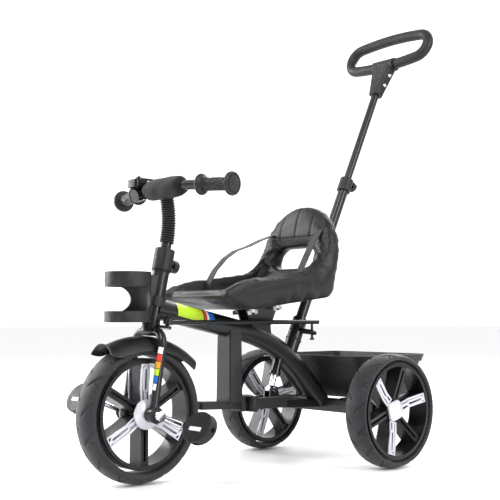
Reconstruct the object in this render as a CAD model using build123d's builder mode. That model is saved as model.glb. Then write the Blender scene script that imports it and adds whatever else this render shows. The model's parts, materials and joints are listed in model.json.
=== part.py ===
from build123d import *
from math import atan2, cos, degrees, hypot, radians, sin
import os

os.makedirs("parts", exist_ok=True)

# A children's pedal tricycle with a steering push pole, in millimetres. +Z is up, the tricycle
# faces -Y, +X is the rider's left, and Z = 0 is the ground. Y = 0 is the middle of the overall
# length, from the front tyre to the back of the push handle.

# ---------------------------------------------------------------- driving dimensions
WHEELBASE = 475.0           # between the axles
TRACK = 372.0               # between the middle planes of the rear wheels

FRONT_WHEEL_R = 124.5       # 10 inch wheel
REAR_WHEEL_R = 112.5        # 9 inch wheel
TYRE_HALF_WIDTH = 26.0
FRONT_RIM_R = 99.0          # where the tyre seats on the rim
REAR_RIM_R = 96.0
RIM_HALF_WIDTH = 22.0
RIM_WALL = 9.0
SPOKE_WIDTH = 16.0
COVER_WIDTH = 19.0
COVER_THICKNESS = 2.5
HUB_R = 17.0

AXLE_R = 6.0
RUN = 0.05                  # radial running clearance
SEAT_FIT = 0.1              # gap between pieces that are pressed or screwed together
FREE = 0.3                  # gap between bodies that only pass each other

HEAD_ANGLE = 12.57          # steering axis, from the vertical, top leaning back
AXLE_BEHIND = 10.7          # front axle behind the steering axis
CROWN_ABOVE_AXLE = 149.2    # along the steering axis
FORK_HALF_SPAN = 42.0       # leg centre from the middle plane
FORK_TUBE_R = 8.0
STEERER_R = 12.7
STEERER_TOP = 140.0         # above the crown, along the steering axis
HEAD_TUBE_R = 15.5
HEAD_TUBE_BOTTOM = 15.0
HEAD_TUBE_TOP = 109.0
BUSH_FLANGE = 1.8
COLLAR_R = 18.5
COLLAR_TOP = 153.0
STEM_R = 10.0
STEM_BEND_START = 165.0     # above the crown, where the stem starts to curve forward
STEM_BEND_R = 195.0
STEM_NECK = 18.0            # straight end of the stem, up to the bar
STEM_IN_STEERER = 60.0      # length of stem held in the steerer

BAR_R = 9.0
BAR_HALF_LENGTH = 166.0
BAR_FLAT_HALF = 60.0        # straight middle, before the bar sweeps back
BAR_SWEEP_BACK = 21.0
BAR_DROP = 7.0
GRIP_LENGTH = 72.0
GRIP_R = 12.5
FOAM_R = 20.0
BELLOWS_R = 13.0
FOAM_HALF_LENGTH = 54.0

MAIN_TUBE_R = 20.0
MAIN_TUBE_WALL = 2.0
MAIN_BEND_R = 330.0
BEND_BEFORE_AXLE = 130.0    # the corner of the main tube's bend, ahead of the rear axle
BEND_HEIGHT = 249.0
HEAD_JOIN = 42.0            # main tube's axis meets the head tube here, above the crown

BEAM_DEPTH = 30.0           # rear axle beam, along Y
BEAM_HEIGHT = 26.0
BEAM_END_GAP = 8.0          # from the beam to the rear wheel
RAIL_WIDTH = 26.0
RAIL_HEIGHT = 15.0
RAIL_NOSE = 341.0           # front end of the low rail, ahead of the rear axle
RAIL_NOSE_TOP = 137.5
RAIL_TAIL_TOP = 123.5
POST_AHEAD = 262.0          # centre post, ahead of the rear axle
POST_WIDTH = 41.0
POST_DEPTH = 30.0

POLE_AHEAD = 87.0           # the push pole's axis passes here, ahead of the rear axle ...
POLE_FOOT_Z = 249.0         # ... at this height
POLE_LEAN = 25.8
LOWER_POLE_R = 11.0
LOWER_POLE_TOP = 380.0      # along the pole
UPPER_POLE_R = 8.5
UPPER_POLE_LENGTH = 330.0
POLE_OVERLAP = 55.0
SOCKET_R = 15.5
SOCKET_DEPTH = 28.0         # below the pole's foot point, into the main tube
HANDLE_HALF_WIDTH = 127.0
HANDLE_HALF_HEIGHT = 36.0
HANDLE_GRIP_R = 12.0
HANDLE_END_R = 30.0
HANDLE_LEAN = 20.0
HANDLE_ABOVE_POLE = 52.0    # lower bar of the loop, above the end of the upper pole

LINK_X = 36.0               # steering link's pins, from each turning axis
LINK_BEHIND = 10.0
LINK_ROD_R = 4.5
LINK_PIN_S = 17.0           # height of the link on the steering axis, above the crown
LEVER_THICKNESS = 4.0
LEVER_DROP = 21.0           # pole lever below the link rod

CRANK = 58.0
CRANK_DROP_ANGLE = 22.0     # left crank below the horizontal, pointing back
CRANK_X = 61.0
CRANK_R = 5.5
CRANK_EYE_R = 9.0
CRANK_EYE_HALF = 6.5
PEDAL_INNER_X = 70.0
PEDAL_WIDTH = 72.0
PEDAL_LENGTH = 58.0
PEDAL_THICKNESS = 18.0
PEDAL_TILT = 60.0
SPINDLE_R = 4.5

CUP_R = 38.5                # bottle bore
CUP_WALL = 3.0
CUP_BOTTOM_Z = 287.0
CUP_TOP_Z = 377.0
CUP_RING = 26.0
CUP_BASE = 20.0
CUP_RELIEF = 0.8            # the wall below the ring stands back from the bottle by this
CUP_CENTRE_GAP = 5.0        # from the cup to the front of the head tube

FENDER_R = 176.0            # inside radius of the mudguard's arc
FENDER_CENTRE_DROP = 40.0   # its centre below the front axle
FENDER_HALF_WIDTH = 31.0
FENDER_SKIRT = 24.0
FENDER_WALL = 2.2

BASKET_WALL = 2.5
BASKET_TOP_Z = 218.0
BASKET_HALF_WIDTH = 134.0
BASKET_BASE_HALF_WIDTH = 108.0
BASKET_FRONT_TOP = -44.0    # behind the rear axle, at the rim
BASKET_BACK_TOP = 188.0
BASKET_FRONT_BASE = 19.0
BASKET_BACK_BASE = 164.0
BASKET_RIM = 15.0
ARM_X = 60.0                # arms under the basket, from the middle plane
ARM_WIDTH = 18.0
ARM_LENGTH = 120.0
ARM_PLATE = 3.0

SEAT_TILT = 7.3
SEAT_AHEAD = 190.0          # middle of the seat's base, ahead of the rear axle
SEAT_BASE_Z = 321.0
SEAT_HALF_WIDTH = 106.0
SEAT_WALL = 22.0
SEAT_PLATE = 3.0
SEAT_STUD_X = 24.0
SEAT_STUD_Y = 34.0
SEAT_STUD_R = 3.0
SEAT_TRAVEL = 20.0

FOOTREST_AHEAD = 222.0
FOOTREST_PIN_X = 25.0
FOOTREST_PIN_R = 4.0
FOOTREST_LENGTH = 88.0

# ---------------------------------------------------------------- places and planes
lean = radians(POLE_LEAN)
pole_dir = Vector(0, sin(lean), cos(lean))
pole_back = Vector(0, cos(lean), -sin(lean))
UPPER_POLE_BOTTOM = LOWER_POLE_TOP - POLE_OVERLAP
UPPER_POLE_TOP = UPPER_POLE_BOTTOM + UPPER_POLE_LENGTH
HANDLE_BAR_S = UPPER_POLE_TOP + HANDLE_ABOVE_POLE

front_reach = WHEELBASE + FRONT_WHEEL_R
rear_reach = (HANDLE_BAR_S * sin(lean) - POLE_AHEAD
              + 2 * HANDLE_HALF_HEIGHT * sin(radians(HANDLE_LEAN)) + HANDLE_GRIP_R)
REAR_AXLE_Y = (front_reach - rear_reach) / 2
FRONT_AXLE_Y = REAR_AXLE_Y - WHEELBASE

front_axle = Vector(0, FRONT_AXLE_Y, FRONT_WHEEL_R)
head = radians(HEAD_ANGLE)
steer_dir = Vector(0, sin(head), cos(head))
steer_back = Vector(0, cos(head), -sin(head))
crown = front_axle - steer_back * AXLE_BEHIND + steer_dir * CROWN_ABOVE_AXLE
steer = Plane(origin=crown, x_dir=(1, 0, 0), z_dir=steer_dir)
steer_side = Plane(origin=crown, x_dir=steer_back, z_dir=(1, 0, 0))
pole_foot = Vector(0, REAR_AXLE_Y - POLE_AHEAD, POLE_FOOT_Z)
pole = Plane(origin=pole_foot, x_dir=(1, 0, 0), z_dir=pole_dir)

LINK_Z = (crown + steer_dir * LINK_PIN_S + steer_back * LINK_BEHIND).Z
LEVER_S = (LINK_Z - LEVER_DROP - POLE_FOOT_Z + LINK_BEHIND * sin(lean)) / cos(lean)
link_front = crown + steer_dir * LINK_PIN_S + steer_back * LINK_BEHIND + Vector(LINK_X, 0, 0)
lever_end = pole_foot + pole_dir * LEVER_S + pole_back * LINK_BEHIND + Vector(LINK_X, 0, 0)

main_points = [
    tuple(crown + steer_dir * HEAD_JOIN)[1:],
    (REAR_AXLE_Y - BEND_BEFORE_AXLE, BEND_HEIGHT),
    (REAR_AXLE_Y - 8, REAR_WHEEL_R + 7),
]


def finish(piece, label):
    """Name a finished piece and write its STEP file."""
    piece.part.label = label
    export_step(piece.part, f"parts/{label}.step")


def rod_between(start, end, radius, inner=0.0):
    """A straight round bar or tube from one point to another."""
    run = Vector(end) - Vector(start)
    with BuildPart() as bar:
        with BuildSketch(Plane(origin=start, z_dir=run)):
            Circle(radius)
            if inner:
                Circle(inner, mode=Mode.SUBTRACT)
        extrude(amount=run.length)
    return bar.part


def bent_tube(plane, points, bend, radius, inner=0.0):
    """A round tube along a polyline with rounded corners, drawn on a plane."""
    with BuildPart() as tube:
        with BuildLine(plane) as route:
            FilletPolyline(*points, radius=bend)
        with BuildSketch(Plane(origin=route.line @ 0, z_dir=route.line % 0)):
            Circle(radius)
            if inner:
                Circle(inner, mode=Mode.SUBTRACT)
        sweep(path=route.line)
    return tube.part


# ---------------------------------------------------------------- frame
rail_front_y = REAR_AXLE_Y - RAIL_NOSE
rail_tail_y = REAR_AXLE_Y - BEAM_DEPTH / 2

shock_foot = Vector(0, REAR_AXLE_Y - 152, RAIL_TAIL_TOP + 27)
with BuildPart() as low_rail:
    with BuildSketch(Plane.YZ):
        Polygon(
            (rail_front_y, RAIL_NOSE_TOP),
            (rail_front_y, RAIL_NOSE_TOP - RAIL_HEIGHT),
            (rail_tail_y, RAIL_TAIL_TOP - RAIL_HEIGHT),
            (rail_tail_y, RAIL_TAIL_TOP),
            align=None,
        )
    extrude(amount=RAIL_WIDTH / 2, both=True)
    fillet(low_rail.edges().filter_by(Axis.Z), radius=3)
    for side in (-1, 1):
        with BuildSketch(Plane.YZ.offset(side * 8)):
            with BuildLine():
                Polyline(
                    (shock_foot.Y - 13, RAIL_TAIL_TOP - 4),
                    (shock_foot.Y + 22, RAIL_TAIL_TOP - 4),
                    (shock_foot.Y + 10, shock_foot.Z + 6),
                    (shock_foot.Y - 8, shock_foot.Z + 9),
                    close=True,
                )
            make_face()
            with Locations((shock_foot.Y, shock_foot.Z)):
                Circle(3 + RUN, mode=Mode.SUBTRACT)
        extrude(amount=1.5, both=True)
finish(low_rail, "low_rail")

beam_half = TRACK / 2 - TYRE_HALF_WIDTH - BEAM_END_GAP
basket_floor_z = REAR_WHEEL_R + BEAM_HEIGHT / 2 + ARM_PLATE
with BuildPart() as rear_axle_beam:
    with BuildSketch(Plane.YZ):
        with Locations((REAR_AXLE_Y, REAR_WHEEL_R)):
            RectangleRounded(BEAM_DEPTH, BEAM_HEIGHT, 2)
            Circle(AXLE_R + RUN, mode=Mode.SUBTRACT)
    extrude(amount=beam_half, both=True)
    for side in (-1, 1):
        with BuildSketch(Plane.YZ.offset(side * ARM_X - ARM_WIDTH / 2)):
            with Locations((REAR_AXLE_Y + ARM_LENGTH / 2, basket_floor_z - ARM_PLATE / 2)):
                Rectangle(ARM_LENGTH, ARM_PLATE)
            with Locations((REAR_AXLE_Y + BEAM_DEPTH / 2 + ARM_PLATE / 2, REAR_WHEEL_R + 2)):
                Rectangle(ARM_PLATE + 1, BEAM_HEIGHT - 2)
        extrude(amount=ARM_WIDTH)
finish(rear_axle_beam, "rear_axle_beam")

with BuildPart() as head_tube:
    with BuildSketch(steer.offset(HEAD_TUBE_BOTTOM)):
        Circle(HEAD_TUBE_R)
        Circle(STEERER_R + RUN + BUSH_FLANGE, mode=Mode.SUBTRACT)
    extrude(amount=HEAD_TUBE_TOP - HEAD_TUBE_BOTTOM)
finish(head_tube, "head_tube")

with BuildPart() as headset_bushes:
    for base, direction in ((HEAD_TUBE_BOTTOM, -1), (HEAD_TUBE_TOP, 1)):
        with BuildSketch(steer.offset(base)):
            Circle(HEAD_TUBE_R + 1)
            Circle(STEERER_R + RUN, mode=Mode.SUBTRACT)
        extrude(amount=direction * BUSH_FLANGE)
        with BuildSketch(steer.offset(base)):
            Circle(STEERER_R + RUN + BUSH_FLANGE - SEAT_FIT)
            Circle(STEERER_R + RUN, mode=Mode.SUBTRACT)
        extrude(amount=-direction * 10)
finish(headset_bushes, "headset_bushes")

with BuildPart() as main_tube:
    add(bent_tube(Plane.YZ, main_points, MAIN_BEND_R, MAIN_TUBE_R, MAIN_TUBE_R - MAIN_TUBE_WALL))
    with BuildSketch(steer.offset(-20)):
        Circle(HEAD_TUBE_R)
    extrude(amount=HEAD_TUBE_TOP + 40, mode=Mode.SUBTRACT)
    with BuildSketch(pole.offset(-SOCKET_DEPTH)):
        Circle(SOCKET_R)
    extrude(amount=SOCKET_DEPTH + 60, mode=Mode.SUBTRACT)
    add(low_rail.part, mode=Mode.SUBTRACT)
    with BuildSketch(Plane.YZ):
        with Locations((REAR_AXLE_Y, REAR_WHEEL_R)):
            Rectangle(BEAM_DEPTH, BEAM_HEIGHT)
    extrude(amount=beam_half, both=True, mode=Mode.SUBTRACT)
    main_tube.part = main_tube.part.solids().sort_by(SortBy.VOLUME)[-1]
finish(main_tube, "main_tube")

main_outside = bent_tube(Plane.YZ, main_points, MAIN_BEND_R, MAIN_TUBE_R)

with BuildPart() as centre_post:
    with BuildSketch(Plane.XY.offset(RAIL_NOSE_TOP - 5)):
        with Locations((0, REAR_AXLE_Y - POST_AHEAD)):
            RectangleRounded(POST_WIDTH + 3, POST_DEPTH + 3, 3)
    with BuildSketch(Plane.XY.offset(BEND_HEIGHT + 25)):
        with Locations((0, REAR_AXLE_Y - POST_AHEAD)):
            RectangleRounded(POST_WIDTH - 1, POST_DEPTH, 3)
    loft()
    add(main_outside, mode=Mode.SUBTRACT)
    add(low_rail.part, mode=Mode.SUBTRACT)
    centre_post.part = centre_post.part.solids().sort_by(SortBy.VOLUME)[-1]
finish(centre_post, "centre_post")

with BuildPart() as pole_socket:
    with BuildSketch(pole.offset(-SOCKET_DEPTH)):
        Circle(SOCKET_R)
    extrude(amount=SOCKET_DEPTH + LEVER_S - LEVER_THICKNESS - FREE)
    with BuildSketch(pole.offset(-SOCKET_DEPTH + 3)):
        Circle(LOWER_POLE_R + RUN)
    extrude(amount=SOCKET_DEPTH + LEVER_S, mode=Mode.SUBTRACT)
finish(pole_socket, "pole_socket")

with BuildPart() as rear_axle:
    with BuildSketch(Plane.YZ.offset(-(TRACK / 2 + 5))):
        with Locations((REAR_AXLE_Y, REAR_WHEEL_R)):
            Circle(AXLE_R)
    extrude(amount=TRACK + 10)
finish(rear_axle, "rear_axle")

# ---------------------------------------------------------------- shock absorber under the arch
shock_top = Vector(0, REAR_AXLE_Y - 124, 226)
shock_axis = (shock_foot - shock_top).normalized()
shock_neck = shock_top + shock_axis * 50

with BuildPart() as shock_body:
    add(rod_between(shock_top, shock_neck, 10.5))
    add(rod_between(shock_neck - shock_axis * 8, shock_neck, 12))
    add(main_outside, mode=Mode.SUBTRACT)
finish(shock_body, "shock_body")

with BuildPart() as shock_rod:
    add(rod_between(shock_neck, shock_foot, 6))
    with BuildSketch(Plane.YZ.offset(-6)):
        with Locations((shock_foot.Y, shock_foot.Z)):
            Circle(9)
    extrude(amount=12)
    with BuildSketch(Plane.YZ.offset(-6)):
        with Locations((shock_foot.Y, shock_foot.Z)):
            Circle(3 + RUN)
    extrude(amount=12, mode=Mode.SUBTRACT)
finish(shock_rod, "shock_rod")

with BuildPart() as shock_bolts:
    with BuildSketch(Plane.YZ.offset(-12)):
        with Locations((shock_foot.Y, shock_foot.Z)):
            Circle(3)
    extrude(amount=24)
    for side in (-1, 1):
        with BuildSketch(Plane.YZ.offset(side * (9.5 + SEAT_FIT))):
            with Locations((shock_foot.Y, shock_foot.Z)):
                RegularPolygon(5.5, 6)
        extrude(amount=side * 4)
finish(shock_bolts, "shock_bolts")

# ---------------------------------------------------------------- footrests
rest_y = REAR_AXLE_Y - FOOTREST_AHEAD
rest_z = RAIL_NOSE_TOP - RAIL_HEIGHT / 2 - 2
block_half_height = 15.0
ear = 4.0
rest_block_half = FOOTREST_PIN_X - 9.5

with BuildPart() as footrest_block:
    with BuildSketch(Plane.XY.offset(rest_z - block_half_height)):
        with Locations((0, rest_y)):
            RectangleRounded(2 * rest_block_half, 42, 5)
    extrude(amount=2 * block_half_height)
    for low in (-block_half_height, block_half_height - ear):
        with BuildSketch(Plane.XY.offset(rest_z + low)):
            with Locations((0, rest_y)):
                SlotCenterToCenter(2 * FOOTREST_PIN_X, 20)
            with Locations((-FOOTREST_PIN_X, rest_y), (FOOTREST_PIN_X, rest_y)):
                Circle(FOOTREST_PIN_R, mode=Mode.SUBTRACT)
        extrude(amount=ear)
    add(low_rail.part, mode=Mode.SUBTRACT)
finish(footrest_block, "footrest_block")

with BuildPart() as footrest_pins:
    with BuildSketch(Plane.XY.offset(rest_z - block_half_height - 1)):
        with Locations((-FOOTREST_PIN_X, rest_y), (FOOTREST_PIN_X, rest_y)):
            Circle(FOOTREST_PIN_R - 0.02)
    extrude(amount=2 * block_half_height + 2)
    with BuildSketch(Plane.XY.offset(rest_z + block_half_height)):
        with Locations((-FOOTREST_PIN_X, rest_y), (FOOTREST_PIN_X, rest_y)):
            Circle(FOOTREST_PIN_R + 2)
    extrude(amount=2)
finish(footrest_pins, "footrest_pins")


def make_footrest(side):
    """One folding footrest: an eye round its pin and a ribbed pad that points back when folded."""
    gap = block_half_height - ear - FREE
    with BuildPart() as rest:
        with BuildSketch(Plane.XY.offset(rest_z - gap)):
            with Locations((side * FOOTREST_PIN_X, rest_y)):
                Circle(9)
            with Locations((side * FOOTREST_PIN_X, rest_y + FOOTREST_LENGTH / 2)):
                RectangleRounded(13, FOOTREST_LENGTH, 4)
            with Locations((side * FOOTREST_PIN_X, rest_y)):
                Circle(FOOTREST_PIN_R + RUN, mode=Mode.SUBTRACT)
        extrude(amount=2 * gap)
        with BuildSketch(Plane.XY.offset(rest_z + gap)):
            with Locations((side * FOOTREST_PIN_X, rest_y + FOOTREST_LENGTH * 0.6)):
                with GridLocations(0, 9, 1, 5):
                    Rectangle(13, 4)
        extrude(amount=-1.2, mode=Mode.SUBTRACT)
    return rest


for side, side_name in ((1, "left"), (-1, "right")):
    finish(make_footrest(side), f"{side_name}_footrest")

# ---------------------------------------------------------------- wheels


def wheel_planes(centre):
    """The plane of the wheel, the plane through its axle, and the axle."""
    side = Plane(origin=centre, x_dir=(0, 1, 0), z_dir=(1, 0, 0))
    section = Plane(origin=centre, x_dir=(1, 0, 0), z_dir=(0, -1, 0))
    return side, section, Axis(centre, (1, 0, 0))


def make_tyre(centre, wheel_r, rim_r):
    """A wide foam tyre with round shoulders, seated on the rim."""
    side, section, axle = wheel_planes(centre)
    bead = RIM_HALF_WIDTH - 4 + SEAT_FIT
    with BuildPart() as tyre:
        with BuildSketch(section):
            with BuildLine():
                seat = Polyline(
                    (TYRE_HALF_WIDTH - 2, rim_r - 2.5),
                    (bead, rim_r - 2.5),
                    (bead, rim_r + SEAT_FIT),
                    (-bead, rim_r + SEAT_FIT),
                    (-bead, rim_r - 2.5),
                    (-TYRE_HALF_WIDTH + 2, rim_r - 2.5),
                )
                crown_left = (-12, wheel_r - 1.2)
                crown_right = (12, wheel_r - 1.2)
                shoulder = wheel_r - 11
                ThreePointArc(crown_left, (0, wheel_r), crown_right)
                Spline(crown_right, (TYRE_HALF_WIDTH, shoulder), seat @ 0,
                       tangents=((1, -0.2), (-0.25, -1)))
                Spline(crown_left, (-TYRE_HALF_WIDTH, shoulder), seat @ 1,
                       tangents=((-1, -0.2), (0.25, -1)))
            make_face()
        revolve(axis=axle)
    return tyre


def make_rim(centre, rim_r, out, faces, hub_ends, bore_r, black_from):
    """A six-spoke moulded wheel. faces are the outer and inner spoke faces at hub and rim."""
    side, section, axle = wheel_planes(centre)
    hub_out, rim_out, hub_in, rim_in = faces
    barrel_r = rim_r - RIM_WALL
    with BuildPart() as rim:
        with BuildSketch(side.offset(-40)):
            with PolarLocations(rim_r / 2, 6, start_angle=black_from):
                Rectangle(rim_r, SPOKE_WIDTH)
        extrude(amount=80)
        with BuildSketch(section):
            Polygon(
                (out * hub_out, HUB_R - 5),
                (out * rim_out, barrel_r + 2),
                (out * rim_in, barrel_r + 2),
                (out * hub_in, HUB_R - 5),
                align=None,
            )
        revolve(axis=axle, mode=Mode.INTERSECT)
        with BuildSketch(side.offset(-40)):
            with PolarLocations((HUB_R + barrel_r) / 2, 3, start_angle=black_from):
                SlotOverall(barrel_r - HUB_R - 12, 5)
        extrude(amount=80, mode=Mode.SUBTRACT)
        with BuildSketch(section):
            Polygon(
                (out * (hub_out - 7), HUB_R - 5),
                (out * (rim_out - 7), barrel_r + 2),
                (out * (rim_in + 7), barrel_r + 2),
                (out * (hub_in + 7), HUB_R - 5),
                align=None,
            )
        web = revolve(axis=axle, mode=Mode.PRIVATE)
        with BuildSketch(side.offset(-40)):
            with PolarLocations((HUB_R + barrel_r) / 2, 3, start_angle=black_from):
                Rectangle(barrel_r - HUB_R, 8)
        webs = extrude(amount=80, mode=Mode.PRIVATE)
        add(webs & web)
        with BuildSketch(section):
            Polygon(
                (-RIM_HALF_WIDTH, barrel_r),
                (-RIM_HALF_WIDTH, rim_r - 2.7),
                (-RIM_HALF_WIDTH + 4, rim_r - 2.7),
                (-RIM_HALF_WIDTH + 4, rim_r),
                (RIM_HALF_WIDTH - 4, rim_r),
                (RIM_HALF_WIDTH - 4, rim_r - 2.7),
                (RIM_HALF_WIDTH, rim_r - 2.7),
                (RIM_HALF_WIDTH, barrel_r),
                align=None,
            )
        revolve(axis=axle)
        with BuildSketch(section):
            Polygon(
                (out * hub_ends[0], 0),
                (out * hub_ends[0], HUB_R),
                (out * hub_ends[1], HUB_R),
                (out * hub_ends[1], 0),
                align=None,
            )
        revolve(axis=axle)
        with BuildSketch(side.offset(-60)):
            Circle(bore_r)
        extrude(amount=120, mode=Mode.SUBTRACT)
    return rim


def make_covers(centre, rim_r, out, faces, first):
    """The pale covers clipped on three spokes, on both faces, each with a long slot."""
    side, section, axle = wheel_planes(centre)
    hub_out, rim_out, hub_in, rim_in = faces
    tip = rim_r - RIM_WALL - 1
    root = HUB_R + 5
    half = COVER_WIDTH / 2
    bend = root + 0.35 * (tip - root)
    with BuildPart() as covers:
        with BuildSketch(side.offset(-40)):
            with PolarLocations(0, 3, start_angle=first):
                Polygon(
                    (root, -half), (bend, -half + 2.5), (tip, -half),
                    (tip, half), (bend, half + 2.5), (root, half),
                    align=None,
                )
            with PolarLocations((root + tip) / 2 + 6, 3, start_angle=first):
                SlotOverall((tip - root) * 0.55, 4.5, mode=Mode.SUBTRACT)
        extrude(amount=80)
        with BuildSketch(section):
            for at_hub, at_rim, up in ((hub_out, rim_out, 1), (hub_in, rim_in, -1)):
                Polygon(
                    (out * (at_hub + up * SEAT_FIT), HUB_R - 5),
                    (out * (at_rim + up * SEAT_FIT), rim_r - RIM_WALL + 2),
                    (out * (at_rim + up * (COVER_THICKNESS + SEAT_FIT)), rim_r - RIM_WALL + 2),
                    (out * (at_hub + up * (COVER_THICKNESS + SEAT_FIT)), HUB_R - 5),
                    align=None,
                )
        revolve(axis=axle, mode=Mode.INTERSECT)
    return covers


# front wheel
front_faces = (17.0, 18.0, -17.0, -18.0)
FRONT_HUB_HALF = 21.0
finish(make_tyre(front_axle, FRONT_WHEEL_R, FRONT_RIM_R), "front_tyre")
finish(
    make_rim(front_axle, FRONT_RIM_R, 1, front_faces, (FRONT_HUB_HALF, -FRONT_HUB_HALF),
             AXLE_R + RUN, 30),
    "front_rim",
)
finish(make_covers(front_axle, FRONT_RIM_R, 1, front_faces, 90), "front_spoke_covers")

with BuildPart() as front_hub_caps:
    side, section, axle = wheel_planes(front_axle)
    for out in (-1, 1):
        with BuildSketch(section):
            with BuildLine():
                Polyline(
                    (out * (FRONT_HUB_HALF + SEAT_FIT), AXLE_R + 1),
                    (out * (FRONT_HUB_HALF + SEAT_FIT), 27),
                    (out * (FRONT_HUB_HALF + 3), 27),
                )
                ThreePointArc(
                    (out * (FRONT_HUB_HALF + 3), 27),
                    (out * (FRONT_HUB_HALF + 8), 20),
                    (out * (FRONT_HUB_HALF + 10), AXLE_R + 1),
                )
                Line(
                    (out * (FRONT_HUB_HALF + 10), AXLE_R + 1),
                    (out * (FRONT_HUB_HALF + SEAT_FIT), AXLE_R + 1),
                )
            make_face()
        revolve(axis=axle)
finish(front_hub_caps, "front_hub_caps")

# cranks, turned as one piece with the front axle
drop = radians(CRANK_DROP_ANGLE)
crank_reach = Vector(0, CRANK * cos(drop), -CRANK * sin(drop))
with BuildPart() as crankset:
    add(rod_between(front_axle - Vector(CRANK_X, 0, 0), front_axle + Vector(CRANK_X, 0, 0), AXLE_R))
    for side in (-1, 1):
        elbow = front_axle + Vector(side * CRANK_X, 0, 0)
        tip = elbow + crank_reach * side
        add(rod_between(elbow, tip, CRANK_R))
        for corner in (elbow, tip):
            with BuildSketch(Plane(origin=corner - Vector(CRANK_EYE_HALF, 0, 0), z_dir=(1, 0, 0))):
                Circle(CRANK_EYE_R)
            extrude(amount=2 * CRANK_EYE_HALF)
        spindle_end = tip + Vector(side * (PEDAL_INNER_X + PEDAL_WIDTH - 8 - CRANK_X), 0, 0)
        add(rod_between(tip, spindle_end, SPINDLE_R))
finish(crankset, "crankset")


def pedal_plane(side):
    """The mid-plane of a pedal: local X is across the pedal and local Y along the foot."""
    middle_x = side * (PEDAL_INNER_X + PEDAL_WIDTH / 2)
    centre = front_axle + crank_reach * side + Vector(middle_x, 0, 0)
    tilt = radians(PEDAL_TILT)
    return Plane(origin=centre, x_dir=(1, 0, 0), z_dir=(0, -sin(tilt), cos(tilt)))


def make_pedal(side):
    """An oval moulded pedal with a bore for the spindle."""
    plane = pedal_plane(side)
    with BuildPart() as pedal:
        with BuildSketch(plane):
            Ellipse(PEDAL_WIDTH / 2, PEDAL_LENGTH / 2)
        extrude(amount=PEDAL_THICKNESS / 2, both=True)
        fillet(pedal.edges(), radius=3)
        bore_plane = Plane(origin=plane.origin - Vector(PEDAL_WIDTH, 0, 0), z_dir=(1, 0, 0))
        with BuildSketch(bore_plane):
            Circle(SPINDLE_R + RUN)
        extrude(amount=2 * PEDAL_WIDTH, mode=Mode.SUBTRACT)
        for end in (-1, 1):
            with BuildSketch(plane.offset(-PEDAL_THICKNESS / 4)):
                with Locations((0, end * PEDAL_LENGTH / 2)):
                    Rectangle(26, 6)
            extrude(amount=PEDAL_THICKNESS / 2, mode=Mode.SUBTRACT)
    return pedal


for side, side_name in ((1, "left"), (-1, "right")):
    finish(make_pedal(side), f"{side_name}_pedal")

# rear wheels: the outer face is dished in to a square cap
rear_faces = (7.0, 18.0, -17.0, -18.0)
REAR_HUB_ENDS = (9.0, -25.0)
REAR_CAP = 38.0
REAR_BUSH_R = 9.0
rear_turn = {"left": 15.0, "right": 10.0}
for out, side_name in ((1, "left"), (-1, "right")):
    centre = Vector(out * TRACK / 2, REAR_AXLE_Y, REAR_WHEEL_R)
    first = rear_turn[side_name]
    finish(make_tyre(centre, REAR_WHEEL_R, REAR_RIM_R), f"{side_name}_rear_tyre")
    rim = make_rim(centre, REAR_RIM_R, out, rear_faces, REAR_HUB_ENDS, REAR_BUSH_R, first + 60)
    finish(rim, f"{side_name}_rear_rim")
    covers = make_covers(centre, REAR_RIM_R, out, rear_faces, first)
    finish(covers, f"{side_name}_rear_spoke_covers")
    side, section, axle = wheel_planes(centre)
    with BuildPart() as cap:
        cap_face = out * (REAR_HUB_ENDS[0] + SEAT_FIT)
        with BuildSketch(side.offset(cap_face)):
            RectangleRounded(REAR_CAP, REAR_CAP, 11, rotation=first)
        extrude(amount=out * 5)
        fillet(cap.faces().sort_by(Axis.X)[-1 if out > 0 else 0].edges(), radius=2.5)
    finish(cap, f"{side_name}_rear_hub_cap")

with BuildPart() as rear_bushes:
    for out in (-1, 1):
        with BuildSketch(Plane.YZ.offset(out * (TRACK / 2 + REAR_HUB_ENDS[1]))):
            with Locations((REAR_AXLE_Y, REAR_WHEEL_R)):
                Circle(REAR_BUSH_R - RUN)
                Circle(AXLE_R + 0.02, mode=Mode.SUBTRACT)
        extrude(amount=out * (REAR_HUB_ENDS[0] - REAR_HUB_ENDS[1] - 1))
finish(rear_bushes, "rear_bushes")

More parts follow.
